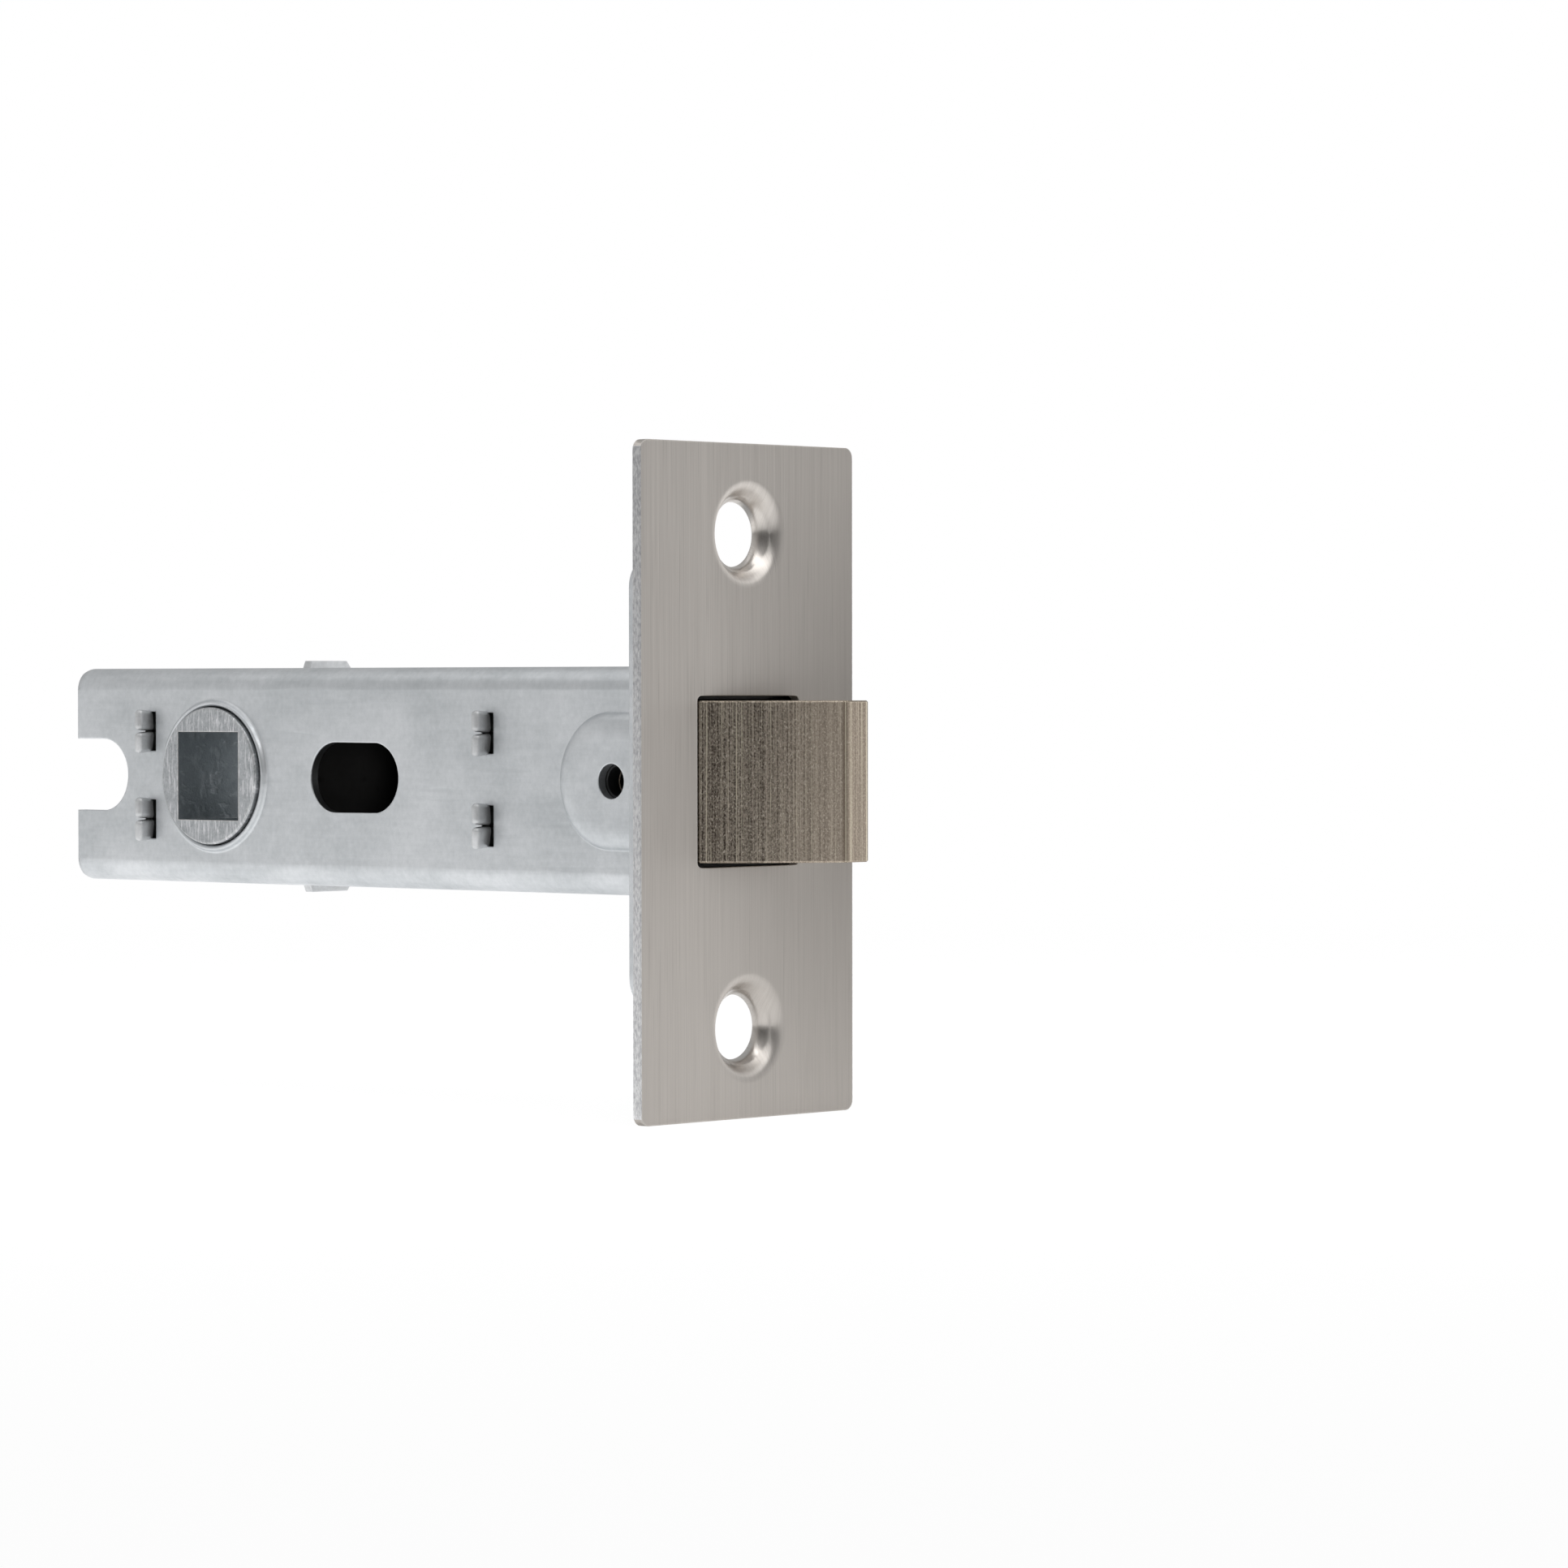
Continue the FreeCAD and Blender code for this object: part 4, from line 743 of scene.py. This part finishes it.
def stake_bulkhead(name, node, hole):
    """A plate across the case with its four tabs, and with a round hole for the shank or none."""
    low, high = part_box(node)
    place = (low.x + high.x) / 2
    mesh = bmesh.new()
    stake_tab(mesh, place)
    tab = mesh.verts[:] + mesh.edges[:] + mesh.faces[:]
    for angle, steps in OTHER_TABS:
        spots = only(VERTEX, bmesh.ops.duplicate(mesh, geom=tab)["geom"])
        bmesh.ops.rotate(mesh, cent=(place, 0, 0),
                         matrix=Matrix.Rotation(math.radians(angle), 3, "X"), verts=spots)
        bmesh.ops.translate(mesh, vec=(0, 0, steps * TAB_MIDDLE[1]), verts=spots)
    known = set(mesh.faces)
    loops = rounded_loop(mesh, (low.x, 0, 0), 2 * PLATE_Y, 2 * PLATE_Z, PLATE_CORNER)
    if hole:
        loops += edges_of(circle(mesh, (low.x, 0, 0), hole, 32, ACROSS_X))
    bmesh.ops.triangle_fill(mesh, use_beauty=True, edges=loops, normal=(1, 0, 0))
    plate = [face for face in mesh.faces if face not in known]
    raised = bmesh.ops.extrude_face_region(mesh, geom=plate, use_keep_orig=True)["geom"]
    bmesh.ops.translate(mesh, vec=(high.x - low.x, 0, 0), verts=only(VERTEX, raised))
    bmesh.ops.recalc_face_normals(mesh, faces=mesh.faces)
    bulkhead = piece_from(name, mesh, inner_zinc)
    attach(bulkhead, "case")
    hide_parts(node)
    print(name, len(bulkhead.data.polygons), "faces")


stake_bulkhead("front_bulkhead_staked", "front_bulkhead", SHANK_HOLE)
stake_bulkhead("rear_bulkhead_staked", "rear_bulkhead", 0.0)

# %% [markdown]
# ## The sheet of the case
# The case is a U-shaped channel and a flat cover that closes it. Both start as flat sheet: the
# holes are cut, the metal is drawn out round the hub and over the bolt's pin, and then the
# channel's two flanges are bent. The Blender model follows the same order, and first lays out
# the cuts as loops of edges in the plane of the wall: the through-bolt slot, the slots for the
# tabs and the notch at the rear.

# %% Cutting lines of a wall
HALF_DEPTH = 0.0078
CASE_SHEET = 0.0009
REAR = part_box("case_channel")[0].x
HALF_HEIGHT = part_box("case_channel")[1].z
MOUTH = -0.00187                    # front end of the case, against the inner forend plate
FLANGE_REAR = REAR + 0.0008         # the flanges stop short of the web at the rear
SLOT = (-0.04075, 0.003175, 0.002475)   # middle, radius and half the run of the through-bolt slot
NOTCH = (-0.07435, 0.00335)         # middle and radius of the rear notch
TAB_SLOT_Z = (0.00226, 0.00589)
PLAY = 0.00004                      # room that a punched slot leaves round a plate
TAB_PLAY = 0.0005                   # room in front of a tab
ROUND = 46                          # sides of a hole, with none of its corners at the very top


def chain(mesh, points):
    """A row of edges through some points."""
    spots = [mesh.verts.new(point) for point in points]
    for pair in zip(spots, spots[1:]):
        mesh.edges.new(pair)


def lay_slot(mesh, y):
    """A circle that is pulled apart along X."""
    middle, radius, run = SLOT
    spots = circle(mesh, (middle, y, 0), radius, ROUND, ACROSS_Y)
    for way in (1, -1):
        half = [spot for spot in spots if (spot.co.x - middle) * way > 0]
        bmesh.ops.translate(mesh, vec=(way * run, 0, 0), verts=half)


def lay_tab_slots(mesh, y):
    for node in ("front_bulkhead", "rear_bulkhead"):
        low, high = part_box(node)[0].x - PLAY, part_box(node)[1].x + TAB_PLAY
        for way in (1, -1):
            near, far = way * TAB_SLOT_Z[0], way * TAB_SLOT_Z[1]
            chain(mesh, [(low, y, near), (high, y, near), (high, y, far), (low, y, far),
                         (low, y, near)])


def lay_rear_end(mesh, y, rear, corner):
    """The rear end of a wall from its upper to its lower corner, with the notch in it."""
    middle, radius = NOTCH
    spots = circle(mesh, (middle, y, 0), radius, ROUND, ACROSS_Y)
    behind = [spot for spot in spots if spot.co.x < middle]
    bmesh.ops.delete(mesh, geom=behind, context="VERTS")
    left = [spot for spot in spots if spot.is_valid and len(spot.link_edges) == 1]
    for spot in left:
        way = math.copysign(1, spot.co.z)
        chain(mesh, [spot.co, (rear, y, spot.co.z), (rear, y, way * corner)])


print("case", [round(v, 4) for v in (REAR, MOUTH, HALF_HEIGHT)])

# %% [markdown]
# ### Collar and fill
# Round the hub a die draws the metal out into a low collar. It is one curve spun round the hub's
# axis, with its foot in the plane of the wall, so the fill closes the sheet up to it. The fill
# takes every open edge that lies in its plane, and so needs no list of the holes.

# %% Draw the collar and close the sheet
COLLAR_FOOT = 0.00712               # radius
COLLAR_TOP = 0.00669
COLLAR_PROUD = 0.00042
COLLAR_SIDES = 96


def draw_collar(mesh, side):
    """The low collar out of the near wall (side = -1) or the far one (side = 1)."""
    rise = interpolate_bezier((COLLAR_FOOT, 0), (0.00684, 0), (0.00694, COLLAR_PROUD),
                              (COLLAR_TOP, COLLAR_PROUD), 9)
    lip = interpolate_bezier((COLLAR_TOP, COLLAR_PROUD), (0.00652, COLLAR_PROUD),
                             (0.0064, 0.00025), (0.00638, 0.00006), 7)
    points = [(HUB_X + spot[0], side * (HALF_DEPTH + spot[1]), 0) for spot in (*rise, *lip[1:])]
    spin_curve(mesh, points, (HUB_X, 0, 0), (0, 1, 0), COLLAR_SIDES)


def fill_level(mesh, normal, level):
    """Closes the sheet between all open edges that lie in one plane. In a flange these are only
    the edges in front of its rear end."""
    axis = Vector(normal)
    rim = [edge for edge in mesh.edges if len(edge.link_faces) < 2
           and all(abs(spot.co.dot(axis) - level) < SAME for spot in edge.verts)
           and (axis.z == 0 or min(spot.co.x for spot in edge.verts) > FLANGE_REAR - SAME)]
    bmesh.ops.triangle_fill(mesh, use_beauty=True, edges=rim, normal=normal)


def sheet_piece(name, mesh, node, out):
    """Turns the sheet's outer side out, makes it a piece and gives it its thickness."""
    turn_out(mesh, (0, out, 0))
    piece = piece_from(name, mesh, case_zinc)
    thicken(piece, CASE_SHEET, 0.0001, 2, 60)
    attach(piece, "case")
    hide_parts(node)
    print(name, len(piece.data.polygons), "faces before its thickness")


print("collar", COLLAR_PROUD, "m proud")

# %% [markdown]
# ### Pillow over the bolt
# In front, the web is pressed out into a low pillow that clears the bolt's pin. Its foot is a
# crisp crease and its top swells gently. Half a turn of one curve makes the round end, and
# pushing the two ends of that along X makes the straight sides. The flat top is filled round the
# sight hole.

# %% Swell the pillow
PILLOW_X = -0.009
PILLOW_FOOT = 0.00598
PILLOW_TOP = HALF_DEPTH + 0.00094
SIGHT_X = (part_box("bolt_pin")[0].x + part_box("bolt_pin")[1].x) / 2
SIGHT_HOLE = 0.00153                # radius


def swell_pillow(mesh):
    section = interpolate_bezier((PILLOW_FOOT, HALF_DEPTH), (0.00562, HALF_DEPTH + 0.0007),
                                 (0.0051, PILLOW_TOP), (0.0037, PILLOW_TOP), 12)
    known = set(mesh.faces)
    spots = [mesh.verts.new((PILLOW_X, -spot[1], spot[0])) for spot in section]
    start = [mesh.edges.new(pair) for pair in zip(spots, spots[1:])]
    turned = bmesh.ops.spin(mesh, geom=spots + start, cent=(PILLOW_X, 0, 0), axis=(0, -1, 0),
                            dvec=(0, 0, 0), angle=math.pi, steps=48, use_duplicate=False)
    front = []
    for row in (start, only(EDGE, turned["geom_last"])):
        moved = only(VERTEX, bmesh.ops.extrude_edge_only(mesh, edges=row)["geom"])
        bmesh.ops.translate(mesh, vec=(MOUTH - PILLOW_X, 0, 0), verts=moved)
        front.append(min(moved, key=lambda spot: abs(spot.co.z)))
    for face in mesh.faces:
        face.smooth = face.smooth or face not in known
    mesh.edges.new(front)
    circle(mesh, (SIGHT_X, -PILLOW_TOP, 0), SIGHT_HOLE, 32, ACROSS_Y)
    fill_level(mesh, (0, -1, 0), PILLOW_TOP)


print("pillow from x =", PILLOW_X, "to", MOUTH)

# %% [markdown]
# ### Channel and cover
# The channel's web takes the pillow, the collar and all the cuts. The bends are the web's long
# edges spun through a quarter turn. Each flange is an outline of its own with a slot for the guide
# plate's ear and a short tongue that is staked into the inner forend plate. Two slanting cuts
# take the corners off the rear end. The cover is the same wall without bends.

# %% Bend a flange
BEND = 0.002                        # outside radius
BEND_Z = HALF_HEIGHT - BEND
TONGUE = (0.0035, -0.00099)         # half the width of a flange's tongue, and where it ends
EAR_SLOT = (-0.00484, 0.00044)      # the guide plate's ear in a flange, along Y


def bend_flange(mesh, way):
    """The upper (way = 1) or lower (way = -1) bend and flange of the channel."""
    web, edge_y, level = -HALF_DEPTH, BEND - HALF_DEPTH, way * HALF_HEIGHT
    row = [edge for edge in mesh.edges if edge.is_boundary
           and all(abs(spot.co.z - way * BEND_Z) < SAME and abs(spot.co.y - web) < SAME
                   for spot in edge.verts)]
    known = set(mesh.faces)
    bmesh.ops.spin(mesh, geom=row, cent=(0, edge_y, way * BEND_Z), axis=(1, 0, 0),
                   dvec=(0, 0, 0), angle=-way * math.pi / 2, steps=10, use_duplicate=False)
    for face in mesh.faces:
        face.smooth = face.smooth or face not in known
    half, tip = TONGUE
    chain(mesh, [(MOUTH, edge_y, level), (MOUTH, -half, level), (tip, -half, level),
                 (tip, half, level), (MOUTH, half, level), (MOUTH, HALF_DEPTH, level),
                 (FLANGE_REAR, HALF_DEPTH, level), (FLANGE_REAR, edge_y, level)])
    low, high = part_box("guide_plate")[0].x - PLAY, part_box("guide_plate")[1].x + PLAY
    near, far = EAR_SLOT
    chain(mesh, [(low, near, level), (high, near, level), (high, far, level), (low, far, level),
                 (low, near, level)])
    bmesh.ops.remove_doubles(mesh, verts=mesh.verts, dist=SAME)
    fill_level(mesh, (0, 0, way), HALF_HEIGHT)


print("bends of", BEND, "m")

# %% Press the channel and the cover
REAR_CUT = 0.0005                   # how far the slanting cuts come down at the very rear


def press_channel():
    mesh = bmesh.new()
    web = -HALF_DEPTH
    swell_pillow(mesh)
    draw_collar(mesh, -1)
    lay_slot(mesh, web)
    lay_tab_slots(mesh, web)
    lay_rear_end(mesh, web, REAR, BEND_Z)
    for way in (1, -1):
        chain(mesh, [(REAR, web, way * BEND_Z), (FLANGE_REAR, web, way * BEND_Z),
                     (MOUTH, web, way * BEND_Z), (MOUTH, web, way * PILLOW_FOOT)])
    bmesh.ops.remove_doubles(mesh, verts=mesh.verts, dist=SAME)
    fill_level(mesh, (0, -1, 0), HALF_DEPTH)
    for way in (1, -1):
        bend_flange(mesh, way)
        bmesh.ops.bisect_plane(mesh, geom=mesh.verts[:] + mesh.edges[:] + mesh.faces[:],
                               dist=SAME, plane_co=(REAR, 0, way * (HALF_HEIGHT - REAR_CUT)),
                               plane_no=(-2, 0, way), clear_outer=True)
    sheet_piece("case_channel_pressed", mesh, "case_channel", -1)


def press_cover():
    low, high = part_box("case_cover")
    mesh = bmesh.new()
    draw_collar(mesh, 1)
    lay_slot(mesh, HALF_DEPTH)
    lay_tab_slots(mesh, HALF_DEPTH)
    lay_rear_end(mesh, HALF_DEPTH, low.x, high.z)
    chain(mesh, [(low.x, HALF_DEPTH, high.z), (MOUTH, HALF_DEPTH, high.z),
                 (MOUTH, HALF_DEPTH, low.z), (low.x, HALF_DEPTH, low.z)])
    bmesh.ops.remove_doubles(mesh, verts=mesh.verts, dist=SAME)
    fill_level(mesh, (0, 1, 0), HALF_DEPTH)
    sheet_piece("case_cover_pressed", mesh, "case_cover", 1)


press_channel()
press_cover()

# %% [markdown]
# ## Floor
# The latch is shown on plain white. A wide round floor lies just under it, pale and a little
# bright of its own, so that it meets the white surroundings without a line. The metal reflects
# the floor too, so it can't simply be white: towards the photographer, and far from the latch, it
# is darker, as the floor of a studio is round a white table. The camera itself sees almost only
# the white.

# %% Lay the floor
PHOTOGRAPHER = (0.66, -0.75, 0.0)       # the direction of the lens from the latch
FLOOR_RADIUS = 6.0
DARK_FROM = (0.05, 0.42)                # towards the lens, where the floor darkens from and to
FAR_FROM = (0.015, 0.2)                 # the same for any side, as distances squared
SHOWS_WHITE = 0.92                      # how white the camera sees the floor near the latch
WHITE = (1.0, 1.0, 1.0, 1.0)
DIM = (0.1, 0.1, 0.1, 1.0)


def lay_floor():
    """A round floor under the object."""
    pale = Finish("floor_pale")
    x, y = pale.along("X"), pale.along("Y")
    away = pale.limits(x * PHOTOGRAPHER[0] + y * PHOTOGRAPHER[1], *DARK_FROM)
    far = pale.limits(x * x + y * y, *FAR_FROM)
    ground = pale.blend(away, paint(0.95, 0.95, 0.95), paint(0.3, 0.3, 0.3))
    glow = pale.blend(away, pale.blend(0.75 * far, WHITE, DIM), DIM)
    shader = pale.node("ShaderNodeBsdfPrincipled", None,
                       {"Base Color": ground, "Emission Color": glow, "Roughness": 0.9,
                        "Emission Strength": 0.47})
    white = pale.node("ShaderNodeEmission", None, {"Color": WHITE, "Strength": 1.0})
    seen = pale.node("ShaderNodeLightPath", output="Is Camera Ray")
    share = seen * (SHOWS_WHITE + (1.0 - SHOWS_WHITE) * far)
    mixed = pale.node("ShaderNodeMixShader", None, {0: share, 1: shader, 2: white})
    pale.node("ShaderNodeOutputMaterial", None, {"Surface": mixed})
    mesh = bmesh.new()
    bmesh.ops.create_circle(mesh, segments=96, radius=FLOOR_RADIUS, cap_ends=True)
    bmesh.ops.translate(mesh, vec=(0, 0, cad_box[0].z), verts=mesh.verts)
    floor = stand("floor", mesh, pale.material)


lay_floor()
print("floor at", round(cad_box[0].z, 4))

# %% [markdown]
# ## Surroundings
# Metal shows what stands round it. The photograph was taken in white surroundings that are dark
# only where the photographer stands, and that is why the bevel of the bolt, which faces the lens,
# is dark while the case is pale. A picture of a studio could surround the latch, but two soft
# spots on a plain grey world say the same: it is dark round the direction of the lens, and
# brightest on the far right, where the forend's mirror image of the lens lies. Only the metal
# sees that grey. The camera sees plain white.

# %% Plain world with two spots
PALE = 0.545
DARK = 0.09
BRIGHTER = 0.9
LENS_SPOT = (0.72, 0.95)            # cosines of the angles from the lens at the spot's two rims
FAR_RIGHT = (PHOTOGRAPHER[0], -PHOTOGRAPHER[1], 0.0)
FAR_RIGHT_SPOT = (0.72, 0.97)

world = bpy.data.worlds.new("studio")
world.use_nodes = True
studio = Bench(world.node_tree)
looks = studio.node("ShaderNodeTexCoord", output="Generated")


def spot_towards(direction, rims):
    """1 round a direction, and 0 away from it."""
    near = studio.node("ShaderNodeVectorMath", {"operation": "DOT_PRODUCT"},
                       {0: looks, 1: direction}, output="Value")
    return studio.limits(near, *rims)


around = (PALE - (PALE - DARK) * spot_towards(PHOTOGRAPHER, LENS_SPOT)
          + BRIGHTER * spot_towards(FAR_RIGHT, FAR_RIGHT_SPOT))
seen = studio.node("ShaderNodeLightPath", output="Is Camera Ray")
strength = seen + (1.0 - seen) * around
backdrop = studio.node("ShaderNodeBackground", None, {"Color": WHITE, "Strength": strength})
studio.node("ShaderNodeOutputWorld", None, {"Surface": backdrop})
bpy.context.scene.world = world
bpy.context.scene.view_settings.view_transform = "Standard"
print("world:", len(world.node_tree.nodes), "nodes")

# %% [markdown]
# ## Studio light
# Three wide panels add the light of soft boxes: from above, from the left, and from above the
# front, which puts the lower highlight in each countersink. Small lamps would do for the amount
# of light, but on metal they show as hard spots, and a panel shows as a soft one.

# %% Hang the panels
PANELS = {                          # place, side and power of each
    "panel_top": ((-0.25, -0.35, 0.9), 0.9, 1.2),
    "panel_left": ((-0.8, -0.45, 0.2), 0.5, 0.15),
    "panel_front": ((0.5, -0.1, 0.85), 0.5, 2.4),
}
AIM = Vector((-0.03, 0.0, 0.0))     # the middle of the latch

for name, (place, size, power) in PANELS.items():
    data = bpy.data.lights.new(name, "AREA")
    data.shape = "SQUARE"
    data.size = size
    data.energy = power
    panel = bpy.data.objects.new(name, data)
    panel.location = place
    panel.rotation_mode = "QUATERNION"
    panel.rotation_quaternion = (AIM - Vector(place)).to_track_quat("-Z", "Y")
    panel.visible_camera = False
    bpy.context.scene.collection.objects.link(panel)

# %% [markdown]
# ## Camera
# The camera stands where the photographer's did: about half a metre away, 41 degrees round from
# the flat of the case and a degree above it, behind a long lens. It could be placed by eye, but
# its three directions were found from the edges of the case and of the forend, which meet at
# right angles on the real latch.

# %% Place the camera
CAMERA_PLACE = Vector((0.33753, -0.37409, 0.00795))
LOOK = Vector((-0.66532, 0.74638, -0.01628))
RIGHT = Vector((0.74649, 0.6654, -0.00095))
UP = Vector((-0.01013, 0.01278, 0.99987))
LENS = 134.12                       # for a sensor of 36, both in millimetres

camera_data = bpy.data.cameras.new("camera")
camera_data.lens = LENS
camera_data.sensor_width = 36.0
camera_data.clip_start = 0.01
camera = bpy.data.objects.new("camera", camera_data)
turn = Matrix((RIGHT, UP, -LOOK)).transposed()
camera.matrix_world = Matrix.Translation(CAMERA_PLACE) @ turn.to_4x4()
bpy.context.scene.collection.objects.link(camera)
bpy.context.scene.camera = camera
print("camera at", [round(v, 3) for v in CAMERA_PLACE])
